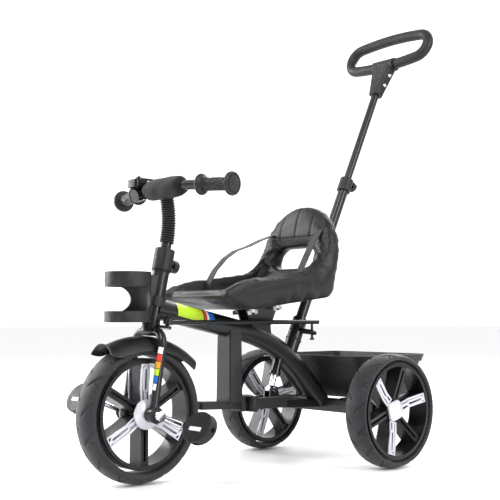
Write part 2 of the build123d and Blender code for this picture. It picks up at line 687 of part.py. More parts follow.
# ---------------------------------------------------------------- front fork
to_crown = crown - front_axle
leg_plane = Plane(origin=front_axle, x_dir=(1, 0, 0), z_dir=Vector(1, 0, 0).cross(to_crown))
crown_height = to_crown.length - 2
with BuildPart() as front_fork:
    add(bent_tube(
        leg_plane,
        [(-FORK_HALF_SPAN, 0), (-FORK_HALF_SPAN, crown_height),
         (FORK_HALF_SPAN, crown_height), (FORK_HALF_SPAN, 0)],
        24, FORK_TUBE_R,
    ))
    with BuildSketch(steer.offset(-4)):
        Circle(STEERER_R)
    extrude(amount=STEERER_TOP + 4)
    with BuildSketch(steer.offset(-4)):
        Circle(HEAD_TUBE_R + 1)
    extrude(amount=HEAD_TUBE_BOTTOM - BUSH_FLANGE - FREE + 4)
    for side in (-1, 1):
        with BuildSketch(Plane(origin=front_axle + Vector(side * 33, 0, 0), z_dir=(side, 0, 0))):
            Circle(13)
        extrude(amount=18)
        with BuildSketch(Plane(origin=front_axle + Vector(side * 30, 0, 0), z_dir=(side, 0, 0))):
            Circle(9)
        extrude(amount=30, mode=Mode.SUBTRACT)
    with BuildSketch(steer.offset(STEM_IN_STEERER - 25)):
        Circle(STEM_R + RUN)
    extrude(amount=STEERER_TOP, mode=Mode.SUBTRACT)
    with BuildSketch(steer.offset(5)):
        with BuildLine():
            Polyline(
                (8, -6), (LINK_X, LINK_BEHIND - 8), (LINK_X, LINK_BEHIND + 8), (4, 14), close=True
            )
        make_face()
        with Locations((LINK_X, LINK_BEHIND)):
            Circle(8)
    extrude(amount=5)
    with BuildSketch(steer.offset(8)):
        with Locations((LINK_X, LINK_BEHIND)):
            Circle(4)
    extrude(amount=LINK_PIN_S)
    with BuildSketch(steer.offset(LINK_PIN_S + 7)):
        with Locations((LINK_X, LINK_BEHIND)):
            RegularPolygon(6.5, 6)
    extrude(amount=4)
finish(front_fork, "front_fork")

with BuildPart() as fork_bushes:
    for side in (-1, 1):
        with BuildSketch(Plane(origin=front_axle + Vector(side * 33, 0, 0), z_dir=(side, 0, 0))):
            Circle(9 - 0.02)
            Circle(AXLE_R + RUN, mode=Mode.SUBTRACT)
        extrude(amount=18.2)
        with BuildSketch(Plane(origin=front_axle + Vector(side * 51.1, 0, 0), z_dir=(side, 0, 0))):
            Circle(14.5)
            Circle(AXLE_R + RUN, mode=Mode.SUBTRACT)
        extrude(amount=3)
finish(fork_bushes, "fork_bushes")

# mudguard: an arch turned about a centre below the axle, so it opens away from the tyre
fender_middle = Vector(0, FRONT_AXLE_Y, FRONT_WHEEL_R - FENDER_CENTRE_DROP)
FENDER_BACK_ANGLE = 41.0
FENDER_FRONT_ANGLE = 22.0
FENDER_LIP_R = 40.0
FENDER_LIP_ANGLE = 30.0


def fender_section(angle):
    """The arch of the mudguard, on the plane through its centre at an angle behind the top."""
    turn = radians(angle)
    plane = Plane(origin=fender_middle, x_dir=(1, 0, 0), z_dir=(0, -cos(turn), sin(turn)))
    inner_foot = (FENDER_HALF_WIDTH, FENDER_R - FENDER_SKIRT)
    outer_foot = (FENDER_HALF_WIDTH + FENDER_WALL, FENDER_R - FENDER_SKIRT)
    with BuildSketch(plane) as arch:
        with BuildLine():
            ThreePointArc((-inner_foot[0], inner_foot[1]), (0, FENDER_R), inner_foot)
            Line(inner_foot, outer_foot)
            ThreePointArc(outer_foot, (0, FENDER_R + FENDER_WALL), (-outer_foot[0], outer_foot[1]))
            Line((-outer_foot[0], outer_foot[1]), (-inner_foot[0], inner_foot[1]))
        make_face()
    return arch.sketch


front_turn = radians(FENDER_FRONT_ANGLE)
lip_middle = fender_middle + Vector(0, -sin(front_turn), cos(front_turn)) * (FENDER_R + FENDER_LIP_R)
with BuildPart() as front_fender:
    revolve(
        fender_section(FENDER_BACK_ANGLE),
        axis=Axis(fender_middle, (1, 0, 0)),
        revolution_arc=FENDER_BACK_ANGLE + FENDER_FRONT_ANGLE,
    )
    revolve(
        fender_section(-FENDER_FRONT_ANGLE),
        axis=Axis(lip_middle, (-1, 0, 0)),
        revolution_arc=FENDER_LIP_ANGLE,
    )
finish(front_fender, "front_fender")

# ---------------------------------------------------------------- stem and its clamp collar
KNOB_S = 126.0
knob_start = crown + steer_dir * KNOB_S + steer_back * (COLLAR_R - 4)
knob_plane = Plane(origin=knob_start, z_dir=steer_back)
with BuildPart() as stem_collar:
    with BuildSketch(steer.offset(HEAD_TUBE_TOP + BUSH_FLANGE + FREE)):
        Circle(COLLAR_R)
    extrude(amount=COLLAR_TOP - HEAD_TUBE_TOP - BUSH_FLANGE - FREE)
    fillet(stem_collar.edges(), radius=2)
    with BuildSketch(steer.offset(HEAD_TUBE_TOP)):
        Circle(STEERER_R + SEAT_FIT)
    extrude(amount=STEERER_TOP - HEAD_TUBE_TOP + SEAT_FIT, mode=Mode.SUBTRACT)
    with BuildSketch(steer.offset(STEERER_TOP - 1)):
        Circle(STEM_R + RUN)
    extrude(amount=30, mode=Mode.SUBTRACT)
    with BuildSketch(knob_plane.offset(-1)):
        Circle(3 + RUN)
    extrude(amount=12, mode=Mode.SUBTRACT)
finish(stem_collar, "stem_collar")


def make_knob(plane, screw_r, screw_length, knob_r, depth):
    """A screw knob: a threaded pin and a lobed head with a dished face."""
    with BuildPart() as knob:
        with BuildSketch(plane):
            Circle(screw_r)
        extrude(amount=screw_length)
        with BuildSketch(plane.offset(screw_length)):
            Circle(knob_r)
        extrude(amount=depth)
        fillet(knob.faces().sort_by(Axis(plane.origin, plane.z_dir))[-1].edges(), radius=2)
        with BuildSketch(plane.offset(screw_length + depth)):
            Circle(knob_r * 0.45)
        extrude(amount=-2, mode=Mode.SUBTRACT)
        with BuildSketch(plane.offset(screw_length)):
            with PolarLocations(knob_r + 2, 8):
                Circle(3)
        extrude(amount=depth, mode=Mode.SUBTRACT)
    return knob


finish(make_knob(knob_plane, 3, 7, 12, 11), "stem_knob")

# the stem: straight in the steerer, then curved forward, with a clamp for the bar
with BuildPart() as handlebar_stem:
    with BuildLine(steer_side) as stem_line:
        straight = Line((0, STEM_IN_STEERER), (0, STEM_BEND_START))
        curve = JernArc(straight @ 1, (0, 1), STEM_BEND_R, 2 * HEAD_ANGLE)
        Line(curve @ 1, (curve @ 1) + (curve % 1) * (STEM_NECK - BAR_R))
    with BuildSketch(steer.offset(STEM_IN_STEERER)):
        Circle(STEM_R)
    sweep(path=stem_line.line)
    stem_up = stem_line.line % 1
    bar_middle = stem_line.line @ 1 + stem_up * BAR_R
    with BuildSketch(Plane(origin=bar_middle - Vector(16, 0, 0), z_dir=(1, 0, 0))):
        Circle(BAR_R + 4)
    extrude(amount=32)
    with BuildSketch(Plane(origin=bar_middle - Vector(20, 0, 0), z_dir=(1, 0, 0))):
        Circle(BAR_R + SEAT_FIT)
    extrude(amount=40, mode=Mode.SUBTRACT)
finish(handlebar_stem, "handlebar_stem")

with BuildPart() as stem_bellows:
    with BuildLine() as bellows_path:
        add(stem_line.line.edges().sort_by(Axis.Z)[1])
    with BuildSketch(Plane(origin=bellows_path.line @ 0, z_dir=bellows_path.line % 0)):
        Circle(BELLOWS_R)
        Circle(STEM_R + FREE, mode=Mode.SUBTRACT)
    sweep(path=bellows_path.line)
finish(stem_bellows, "stem_bellows")

# ---------------------------------------------------------------- handlebar
sweep_run = hypot(BAR_SWEEP_BACK, BAR_DROP)
bar_plane = Plane(
    origin=bar_middle,
    x_dir=(1, 0, 0),
    z_dir=Vector(1, 0, 0).cross(Vector(0, BAR_SWEEP_BACK, -BAR_DROP)),
)
bar_points = [
    (-BAR_HALF_LENGTH, sweep_run), (-BAR_FLAT_HALF, 0),
    (BAR_FLAT_HALF, 0), (BAR_HALF_LENGTH, sweep_run),
]
with BuildPart() as handlebar:
    add(bent_tube(bar_plane, bar_points, 60, BAR_R, BAR_R - 1.5))
finish(handlebar, "handlebar")

with BuildPart() as foam_pad:
    with BuildSketch(Plane(origin=bar_middle - Vector(FOAM_HALF_LENGTH, 0, 0), z_dir=(1, 0, 0))):
        Circle(FOAM_R)
    extrude(amount=2 * FOAM_HALF_LENGTH)
    fillet(foam_pad.edges(), radius=7)
    add(handlebar_stem.part, mode=Mode.SUBTRACT)
    with BuildSketch(Plane(origin=bar_middle - Vector(70, 0, 0), z_dir=(1, 0, 0))):
        Circle(BAR_R + 4 + SEAT_FIT)
    extrude(amount=140, mode=Mode.SUBTRACT)
    with BuildSketch(Plane(origin=bar_middle, z_dir=-stem_up)):
        Circle(BELLOWS_R + FREE)
    extrude(amount=40, mode=Mode.SUBTRACT)
finish(foam_pad, "foam_pad")


def bar_end_plane(side, back_from_end):
    """The plane across the bar, facing outwards, at a distance in from its end."""
    outward = bar_plane.from_local_coords(Vector(side * (BAR_HALF_LENGTH - BAR_FLAT_HALF), sweep_run, 0))
    direction = (outward - bar_middle).normalized()
    end = bar_plane.from_local_coords(Vector(side * BAR_HALF_LENGTH, sweep_run, 0))
    return Plane(origin=end - direction * back_from_end, z_dir=direction)


def make_grip(side):
    """A rubber grip with an inner flange and a round end guard."""
    base = bar_end_plane(side, GRIP_LENGTH)
    with BuildPart() as grip:
        with BuildSketch(base):
            Circle(GRIP_R + 6.5)
        extrude(amount=6)
        with BuildSketch(base):
            Circle(GRIP_R)
        extrude(amount=GRIP_LENGTH)
        with BuildSketch(base.offset(GRIP_LENGTH - 3)):
            Circle(GRIP_R + 9)
        extrude(amount=9)
        fillet(grip.edges().filter_by(GeomType.CIRCLE), radius=1.5)
        with BuildSketch(base.offset(-1)):
            Circle(BAR_R + SEAT_FIT)
        extrude(amount=GRIP_LENGTH + 1 + SEAT_FIT, mode=Mode.SUBTRACT)
    return grip


for side, side_name in ((1, "left"), (-1, "right")):
    finish(make_grip(side), f"{side_name}_grip")

# bell on the rider's right of the foam pad, with a thumb lever
BELL_X = -72.0
bell_seat = bar_end_plane(-1, BAR_HALF_LENGTH + BELL_X + 2)
with BuildPart() as bell_body:
    with BuildSketch(bell_seat.offset(-7)):
        Circle(BAR_R + 5)
    extrude(amount=14)
    bell_middle = bell_seat.origin
    with BuildSketch(Plane.XY.offset(bell_middle.Z + 8)):
        with Locations((bell_middle.X, bell_middle.Y - 14)):
            RectangleRounded(30, 30, 5)
    extrude(amount=15)
    with BuildSketch(Plane(origin=bell_middle + Vector(0, -10, -5), z_dir=(0, -1, -0.3))):
        Circle(13)
    extrude(amount=12)
    with BuildSketch(bell_seat.offset(-30)):
        Circle(BAR_R + SEAT_FIT)
    extrude(amount=60, mode=Mode.SUBTRACT)
    with BuildSketch(Plane.XY.offset(bell_middle.Z + 23)):
        with Locations((bell_middle.X + 4, bell_middle.Y - 14)):
            Circle(3)
    extrude(amount=7)
finish(bell_body, "bell_body")

with BuildPart() as bell_lever:
    with BuildSketch(Plane.XY.offset(bell_middle.Z + 23 + FREE)):
        with Locations((bell_middle.X + 4, bell_middle.Y - 14)):
            Circle(6.5)
        with Locations((bell_middle.X + 4, bell_middle.Y + 4)):
            RectangleRounded(7, 34, 3)
        with Locations((bell_middle.X + 4, bell_middle.Y - 14)):
            Circle(3 + RUN, mode=Mode.SUBTRACT)
    extrude(amount=4)
finish(bell_lever, "bell_lever")

# ---------------------------------------------------------------- steering link and push pole
ROD_TAIL = 18.0
rod_tail_y = lever_end.Y + ROD_TAIL
with BuildPart() as link_rod:
    eye_plane = Plane(origin=link_front - steer_dir * 4, x_dir=(1, 0, 0), z_dir=steer_dir)
    with BuildSketch(eye_plane):
        Circle(8.5)
    extrude(amount=10.5)
    add(rod_between(link_front, Vector(link_front.X, rod_tail_y, link_front.Z), LINK_ROD_R))
    with BuildSketch(eye_plane.offset(-5)):
        Circle(4 + RUN)
    extrude(amount=18, mode=Mode.SUBTRACT)
    add(rod_between(
        Vector(lever_end.X, lever_end.Y, link_front.Z),
        Vector(lever_end.X, lever_end.Y, lever_end.Z - 14), 2.5,
    ))
    add(rod_between(
        Vector(lever_end.X, lever_end.Y, lever_end.Z - 12),
        Vector(lever_end.X, lever_end.Y, lever_end.Z - 16), 4.5,
    ))
finish(link_rod, "link_rod")

with BuildPart() as pole_lever:
    with BuildSketch(pole.offset(LEVER_S - LEVER_THICKNESS / 2)):
        with BuildLine():
            Polyline((8, -9), (LINK_X, LINK_BEHIND - 10), (LINK_X, LINK_BEHIND + 10), (4, 13), close=True)
        make_face()
        with Locations((LINK_X, LINK_BEHIND)):
            Circle(10)
        Circle(SOCKET_R)
    extrude(amount=LEVER_THICKNESS)
    with BuildSketch(pole.offset(LEVER_S)):
        Circle(SOCKET_R)
    extrude(amount=26)
    with BuildSketch(pole.offset(LEVER_S - 10)):
        with Locations((LINK_X, LINK_BEHIND)):
            Circle(6)
        Circle(LOWER_POLE_R + SEAT_FIT)
    extrude(amount=60, mode=Mode.SUBTRACT)
finish(pole_lever, "pole_lever")

with BuildPart() as lower_pole:
    with BuildSketch(pole.offset(-SOCKET_DEPTH + 3 + FREE)):
        Circle(LOWER_POLE_R)
        Circle(UPPER_POLE_R + RUN, mode=Mode.SUBTRACT)
    extrude(amount=SOCKET_DEPTH - 3 - FREE + LOWER_POLE_TOP)
finish(lower_pole, "lower_pole")

POLE_COLLAR_R = 15.0
POLE_COLLAR_BELOW = 18.0
POLE_COLLAR_ABOVE = 14.0
with BuildPart() as pole_collar:
    with BuildSketch(pole.offset(LOWER_POLE_TOP - POLE_COLLAR_BELOW)):
        Circle(POLE_COLLAR_R)
    extrude(amount=POLE_COLLAR_BELOW + POLE_COLLAR_ABOVE)
    fillet(pole_collar.edges(), radius=2)
    with BuildSketch(pole.offset(LOWER_POLE_TOP - POLE_COLLAR_BELOW - 1)):
        Circle(LOWER_POLE_R + SEAT_FIT)
    extrude(amount=POLE_COLLAR_BELOW + 1 + SEAT_FIT, mode=Mode.SUBTRACT)
    with BuildSketch(pole.offset(LOWER_POLE_TOP - 2)):
        Circle(UPPER_POLE_R + RUN)
    extrude(amount=30, mode=Mode.SUBTRACT)
    pole_knob_plane = Plane(
        origin=pole_foot + pole_dir * (LOWER_POLE_TOP + 7) + pole_back * (UPPER_POLE_R + 2),
        z_dir=pole_back,
    )
    with BuildSketch(pole_knob_plane.offset(-1)):
        Circle(2.5 + RUN)
    extrude(amount=20, mode=Mode.SUBTRACT)
finish(pole_collar, "pole_collar")
finish(make_knob(pole_knob_plane, 2.5, 6, 11, 10), "pole_knob")

with BuildPart() as upper_pole:
    with BuildSketch(pole.offset(UPPER_POLE_BOTTOM)):
        Circle(UPPER_POLE_R)
        Circle(UPPER_POLE_R - 1.5, mode=Mode.SUBTRACT)
    extrude(amount=UPPER_POLE_LENGTH)
finish(upper_pole, "upper_pole")

# the handle: an oval loop whose lower bar sits in a two-screw bracket
handle_low = pole_foot + pole_dir * HANDLE_BAR_S
handle_turn = radians(HANDLE_LEAN)
handle_up = Vector(0, sin(handle_turn), cos(handle_turn))
handle_plane = Plane(
    origin=handle_low + handle_up * HANDLE_HALF_HEIGHT,
    x_dir=(1, 0, 0),
    z_dir=Vector(1, 0, 0).cross(handle_up),
)


def handle_loop(radius):
    """A round bar round the handle's oval: flat arcs above and below, tight arcs at the ends."""
    end_centre = HANDLE_HALF_WIDTH - HANDLE_GRIP_R - HANDLE_END_R
    excess = HANDLE_HALF_HEIGHT - HANDLE_END_R
    flat_centre = (end_centre ** 2 - excess ** 2) / (2 * excess)
    flat_r = flat_centre + HANDLE_HALF_HEIGHT
    swing = degrees(atan2(end_centre, flat_centre))
    with BuildPart() as loop:
        for side in (-1, 1):
            for centre, arc_r, start, size in (
                ((0, -flat_centre), flat_r, 90, -side * swing),
                ((side * end_centre, 0), HANDLE_END_R, 90 - side * swing, -side * (180 - 2 * swing)),
                ((0, flat_centre), flat_r, -90 + side * swing, -side * swing),
            ):
                with BuildLine(handle_plane) as arc:
                    CenterArc(centre, arc_r, start, size)
                with BuildSketch(Plane(origin=arc.line @ 0, z_dir=arc.line % 0)):
                    Circle(radius)
                sweep(path=arc.line)
    return loop.part


with BuildPart() as push_handle:
    add(handle_loop(HANDLE_GRIP_R))
finish(push_handle, "push_handle")

with BuildPart() as handle_bracket:
    with BuildSketch(Plane(origin=handle_low - Vector(30, 0, 0), z_dir=(1, 0, 0))):
        Circle(HANDLE_GRIP_R + 3.5)
    extrude(amount=60)
    with BuildSketch(pole.offset(UPPER_POLE_TOP - 32)):
        RectangleRounded(26, 24, 6)
    with BuildSketch(pole.offset(HANDLE_BAR_S)):
        RectangleRounded(58, 27, 6)
    loft()
    add(push_handle.part, mode=Mode.SUBTRACT)
    with BuildSketch(pole.offset(UPPER_POLE_TOP - 60)):
        Circle(UPPER_POLE_R + SEAT_FIT)
    extrude(amount=60 + SEAT_FIT, mode=Mode.SUBTRACT)
    handle_bracket.part = handle_bracket.part.solids().sort_by(SortBy.VOLUME)[-1]
finish(handle_bracket, "handle_bracket")

# ---------------------------------------------------------------- cup holder on the head tube
head_front = crown + steer_dir * ((CUP_BOTTOM_Z + CUP_TOP_Z) / 2 - crown.Z) / cos(head)
cup_y = head_front.Y - HEAD_TUBE_R / cos(head) - CUP_CENTRE_GAP - CUP_R - CUP_WALL
cup_outer = CUP_R + CUP_WALL
BAND_S = 62.0
BAND_HEIGHT = 18.0
with BuildPart() as cup_holder:
    with BuildSketch(Plane.XY.offset(CUP_BOTTOM_Z)):
        with Locations((0, cup_y)):
            Circle(cup_outer)
    extrude(amount=CUP_TOP_Z - CUP_BOTTOM_Z)
    with BuildSketch(Plane.YZ.offset(-cup_outer - 5)):
        with BuildLine():
            Polyline(
                (cup_y - cup_outer - 5, CUP_BOTTOM_Z + CUP_BASE),
                (cup_y + 12, CUP_BOTTOM_Z + CUP_BASE),
            )
            ThreePointArc(
                (cup_y + 12, CUP_BOTTOM_Z + CUP_BASE),
                (cup_y + 27, (CUP_BOTTOM_Z + CUP_BASE + CUP_TOP_Z - CUP_RING) / 2),
                (cup_y + 12, CUP_TOP_Z - CUP_RING),
            )
            Polyline(
                (cup_y + 12, CUP_TOP_Z - CUP_RING),
                (cup_y - cup_outer - 5, CUP_TOP_Z - CUP_RING),
                (cup_y - cup_outer - 5, CUP_BOTTOM_Z + CUP_BASE),
            )
        make_face()
    extrude(amount=2 * cup_outer + 10, mode=Mode.SUBTRACT)
    with BuildSketch(Plane.XY.offset(CUP_BOTTOM_Z + 8)):
        with Locations((0, cup_y + cup_outer + 5)):
            Rectangle(22, 34)
    extrude(amount=CUP_TOP_Z - CUP_BOTTOM_Z - 12)
    with BuildSketch(steer.offset(BAND_S)):
        Circle(HEAD_TUBE_R + 3)
    extrude(amount=-BAND_HEIGHT)
    with BuildSketch(steer.offset(-10)):
        Circle(HEAD_TUBE_R + SEAT_FIT)
    extrude(amount=HEAD_TUBE_TOP + 80, mode=Mode.SUBTRACT)
    with BuildSketch(steer.offset(-10)):
        Circle(HEAD_TUBE_R + 2)
    extrude(amount=HEAD_TUBE_BOTTOM + 12, mode=Mode.SUBTRACT)
    with BuildSketch(Plane.XY.offset(CUP_BOTTOM_Z + CUP_WALL)):
        with Locations((0, cup_y)):
            Circle(CUP_R)
    extrude(amount=CUP_TOP_Z - CUP_BOTTOM_Z, mode=Mode.SUBTRACT)
    with BuildSketch(Plane.XY.offset(CUP_BOTTOM_Z + CUP_WALL)):
        with Locations((0, cup_y)):
            Circle(CUP_R + CUP_RELIEF)
    extrude(amount=CUP_TOP_Z - CUP_BOTTOM_Z - CUP_WALL - CUP_RING, mode=Mode.SUBTRACT)
    add(main_outside, mode=Mode.SUBTRACT)
    cup_holder.part = cup_holder.part.solids().sort_by(SortBy.VOLUME)[-1]
finish(cup_holder, "cup_holder")

# ---------------------------------------------------------------- basket behind the seat


def basket_block(inset, floor_z, top_z):
    """A tapered block between the basket's base and rim outlines, moved in by the inset."""
    def outline(height):
        share = (height - basket_floor_z) / (BASKET_TOP_Z - basket_floor_z)
        half = BASKET_BASE_HALF_WIDTH + share * (BASKET_HALF_WIDTH - BASKET_BASE_HALF_WIDTH)
        front = BASKET_FRONT_BASE + share * (BASKET_FRONT_TOP - BASKET_FRONT_BASE)
        back = BASKET_BACK_BASE + share * (BASKET_BACK_TOP - BASKET_BACK_BASE)
        middle = REAR_AXLE_Y + (front + back) / 2
        with BuildSketch(Plane.XY.offset(height)) as face:
            with Locations((0, middle)):
                RectangleRounded(2 * (half - inset), back - front - 2 * inset, 24 - inset)
        return face.sketch

    with BuildPart() as block:
        loft(sections=[outline(floor_z), outline(top_z)])
    return block.part


with BuildPart() as basket:
    add(basket_block(0, basket_floor_z, BASKET_TOP_Z))
    add(basket_block(-4, BASKET_TOP_Z - BASKET_RIM, BASKET_TOP_Z))
    add(basket_block(BASKET_WALL, basket_floor_z + BASKET_WALL, BASKET_TOP_Z + 1), mode=Mode.SUBTRACT)
finish(basket, "basket")

# ---------------------------------------------------------------- seat and its sliding mount
tilt = radians(SEAT_TILT)
seat_up = Vector(0, -sin(tilt), cos(tilt))
seat_plane = Plane(
    origin=(0, REAR_AXLE_Y - SEAT_AHEAD, SEAT_BASE_Z),
    x_dir=(1, 0, 0),
    z_dir=seat_up,
)
seat_side = Plane(origin=seat_plane.origin, x_dir=(0, cos(tilt), sin(tilt)), z_dir=(1, 0, 0))
plate_half_length = SEAT_STUD_Y + SEAT_TRAVEL / 2 + 12
slot_length = SEAT_TRAVEL + 7
with BuildPart() as seat_bracket:
    with BuildSketch(seat_plane.offset(-SEAT_PLATE - SEAT_FIT)):
        RectangleRounded(2 * SEAT_STUD_X + 16, 2 * plate_half_length, 6)
    extrude(amount=SEAT_PLATE)
    with BuildSketch(seat_side.offset(-16)):
        Polygon(
            (-42, -SEAT_PLATE), (46, -SEAT_PLATE), (18, -45), (18, -70), (-30, -70), (-30, -45),
            align=None,
        )
    extrude(amount=32)
    with BuildSketch(seat_side.offset(-12.5)):
        Rectangle(200, 200)
    extrude(amount=25, mode=Mode.SUBTRACT)
    with BuildSketch(seat_plane.offset(-SEAT_PLATE - SEAT_FIT)):
        RectangleRounded(2 * SEAT_STUD_X + 16, 2 * plate_half_length, 6)
    extrude(amount=SEAT_PLATE)
    with BuildSketch(seat_plane.offset(-SEAT_PLATE - 1)):
        with GridLocations(2 * SEAT_STUD_X, 2 * SEAT_STUD_Y, 2, 2):
            with Locations((0, -SEAT_TRAVEL / 2)):
                SlotOverall(slot_length, 2 * SEAT_STUD_R + 0.4, rotation=90)
    extrude(amount=SEAT_PLATE + 3, mode=Mode.SUBTRACT)
    add(main_outside, mode=Mode.SUBTRACT)
    seat_bracket.part = seat_bracket.part.solids().sort_by(SortBy.VOLUME)[-1]
finish(seat_bracket, "seat_bracket")

# The seat's side outlines are drawn from its base: local X is back and local Y is up.
SEAT_REAR = 118.0
SEAT_FLOOR = 26.0           # top of the pan's padding, above the seat's underside
SEAT_BACK_TOP = 211.0
SHELL_THICKNESS = 8.0
SHELL_WIDTH = 150.0
SHELL_LENGTH = 150.0
SHELL_BACK_SHIFT = 12.0
with BuildPart() as seat_pad:
    with BuildSketch(seat_side):
        with BuildLine():
            Polyline((-96, 0), (SEAT_REAR - 14, 0))
            ThreePointArc((SEAT_REAR - 14, 0), (SEAT_REAR - 2, 5), (SEAT_REAR + 6, 18))
            Polyline((SEAT_REAR + 6, 18), (162, 120), (182, 184))
            ThreePointArc((182, 184), (176, 198), (160, 200))
            Polyline((160, 200), (152, 190), (128, 122))
            ThreePointArc((128, 122), (98, 80), (48, 62))
            Line((48, 62), (-60, 60))
            ThreePointArc((-60, 60), (-124, 56), (-160, 44))
            ThreePointArc((-160, 44), (-166, 36), (-158, 28))
            Line((-158, 28), (-96, 0))
        make_face()
    extrude(amount=SEAT_HALF_WIDTH, both=True)
    with BuildSketch(seat_side):
        with BuildLine():
            Polyline(
                (-190, 44), (-140, 36), (-100, SEAT_FLOOR), (56, SEAT_FLOOR),
            )
            ThreePointArc((56, SEAT_FLOOR), (92, 42), (112, 80))
            Polyline((112, 80), (130, 122), (156, 196), (156, 230), (-190, 230), (-190, 44))
        make_face()
    extrude(amount=SEAT_HALF_WIDTH - SEAT_WALL, both=True, mode=Mode.SUBTRACT)
    front_view = Plane(origin=seat_plane.origin, x_dir=(1, 0, 0), z_dir=(0, -1, 0))
    with BuildSketch(front_view):
        Rectangle(600, 600)
        with Locations((0, 40)):
            RectangleRounded(2 * SEAT_HALF_WIDTH, 124, 20, mode=Mode.SUBTRACT)
        with BuildLine():
            Polyline((-SEAT_HALF_WIDTH, 90), (-SEAT_HALF_WIDTH, 20), (SEAT_HALF_WIDTH, 20), (SEAT_HALF_WIDTH, 90))
            ThreePointArc((SEAT_HALF_WIDTH, 90), (98, 142), (83, 170))
            ThreePointArc((83, 170), (0, SEAT_BACK_TOP), (-83, 170))
            ThreePointArc((-83, 170), (-98, 142), (-SEAT_HALF_WIDTH, 90))
        make_face(mode=Mode.SUBTRACT)
    extrude(amount=300, both=True, mode=Mode.SUBTRACT)
    with BuildSketch(front_view):
        with Locations((0, 96)):
            RectangleRounded(112, 48, 20)
    extrude(amount=-300, mode=Mode.SUBTRACT)
    with BuildSketch(seat_plane.offset(-5)):
        with Locations((0, SHELL_BACK_SHIFT)):
            RectangleRounded(SHELL_WIDTH + 2 * SEAT_FIT, SHELL_LENGTH + 2 * SEAT_FIT, 30)
    extrude(amount=5 + SHELL_THICKNESS + SEAT_FIT, mode=Mode.SUBTRACT)
finish(seat_pad, "seat_pad")

with BuildPart() as seat_board:
    with BuildSketch(seat_plane):
        with Locations((0, SHELL_BACK_SHIFT)):
            RectangleRounded(SHELL_WIDTH, SHELL_LENGTH, 30)
    extrude(amount=SHELL_THICKNESS)
    with BuildSketch(seat_plane.offset(2)):
        with GridLocations(2 * SEAT_STUD_X, 2 * SEAT_STUD_Y, 2, 2):
            Circle(SEAT_STUD_R)
    extrude(amount=-SEAT_PLATE - 14)
finish(seat_board, "seat_board")

with BuildPart() as seat_wing_nuts:
    with BuildSketch(seat_plane.offset(-SEAT_PLATE - SEAT_FIT - FREE)):
        with GridLocations(2 * SEAT_STUD_X, 2 * SEAT_STUD_Y, 2, 2):
            Circle(6)
            Circle(SEAT_STUD_R + 0.02, mode=Mode.SUBTRACT)
    extrude(amount=-7)
    with BuildSketch(seat_plane.offset(-SEAT_PLATE - 3.5)):
        with GridLocations(2 * SEAT_STUD_X, 2 * SEAT_STUD_Y, 2, 2):
            with Locations((0, -8), (0, 8)):
                Rectangle(2.5, 8)
    extrude(amount=-8)
finish(seat_wing_nuts, "seat_wing_nuts")

# harness: a strap each side from the pan up to the back, and a buckle lying on the pan
STRAP_WIDTH = 18.0
STRAP_THICKNESS = 1.6
STRAP_X = 70.0
strap_routes = {
    -1: [
        (-72, SEAT_FLOOR + 1.2), (-62, 54), (-42, 77), (-12, 99),
        (18, 112), (56, 119), (92, 129), (128, 136),
    ],
    1: [
        (-60, SEAT_FLOOR + 1.2), (-20, SEAT_FLOOR + 1.6), (20, SEAT_FLOOR + 4), (50, 46),
        (80, 84), (106, 116), (129, 138),
    ],
}
with BuildPart() as harness_straps:
    for side, route in strap_routes.items():
        with BuildSketch(seat_side.offset(side * STRAP_X - STRAP_WIDTH / 2)):
            with BuildLine():
                strap = FilletPolyline(*route, radius=24)
                offset(strap, amount=STRAP_THICKNESS / 2, side=Side.BOTH, mode=Mode.REPLACE)
            make_face()
        extrude(amount=STRAP_WIDTH)
finish(harness_straps, "harness_straps")

with BuildPart() as harness_buckle:
    with BuildSketch(seat_plane.offset(SEAT_FLOOR + 0.5)):
        with Locations((-30, -70)):
            RectangleRounded(34, 46, 8)
    extrude(amount=10)
    fillet(harness_buckle.edges().filter_by(GeomType.LINE), radius=1.5)
finish(harness_buckle, "harness_buckle")
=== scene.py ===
import json
from math import atan2, cos, pi, radians, sin, sqrt

import bmesh
import bpy
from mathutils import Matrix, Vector
from mathutils.bvhtree import BVHTree


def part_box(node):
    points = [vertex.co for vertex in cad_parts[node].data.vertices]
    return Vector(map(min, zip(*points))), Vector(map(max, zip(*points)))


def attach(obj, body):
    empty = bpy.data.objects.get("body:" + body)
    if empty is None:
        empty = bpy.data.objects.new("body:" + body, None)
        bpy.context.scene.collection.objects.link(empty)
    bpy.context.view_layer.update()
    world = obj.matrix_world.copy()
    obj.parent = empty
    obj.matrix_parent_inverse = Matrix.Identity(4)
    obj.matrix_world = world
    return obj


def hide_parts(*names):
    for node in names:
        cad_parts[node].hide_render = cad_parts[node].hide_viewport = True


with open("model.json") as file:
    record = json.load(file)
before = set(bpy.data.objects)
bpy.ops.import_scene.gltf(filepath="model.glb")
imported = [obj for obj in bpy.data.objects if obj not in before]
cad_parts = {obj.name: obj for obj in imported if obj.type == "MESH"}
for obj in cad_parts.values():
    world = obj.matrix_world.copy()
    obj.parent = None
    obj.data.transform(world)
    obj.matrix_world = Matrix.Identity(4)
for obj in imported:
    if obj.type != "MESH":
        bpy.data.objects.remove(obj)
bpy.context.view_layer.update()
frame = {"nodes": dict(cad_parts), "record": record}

record = frame["record"]
body_of_node = {n: b for b, ns in record["behaviour"]["bodies"].items() for n in ns}
slot_of_node = {s["node"]: s["material_slot"] for s in record["subparts"]}
joint = {j["name"]: j for j in record["behaviour"]["joints"]}


# ---------------------------------------------------------------- places taken from the frame
def middle(node):
    low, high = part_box(node)
    return (low + high) / 2


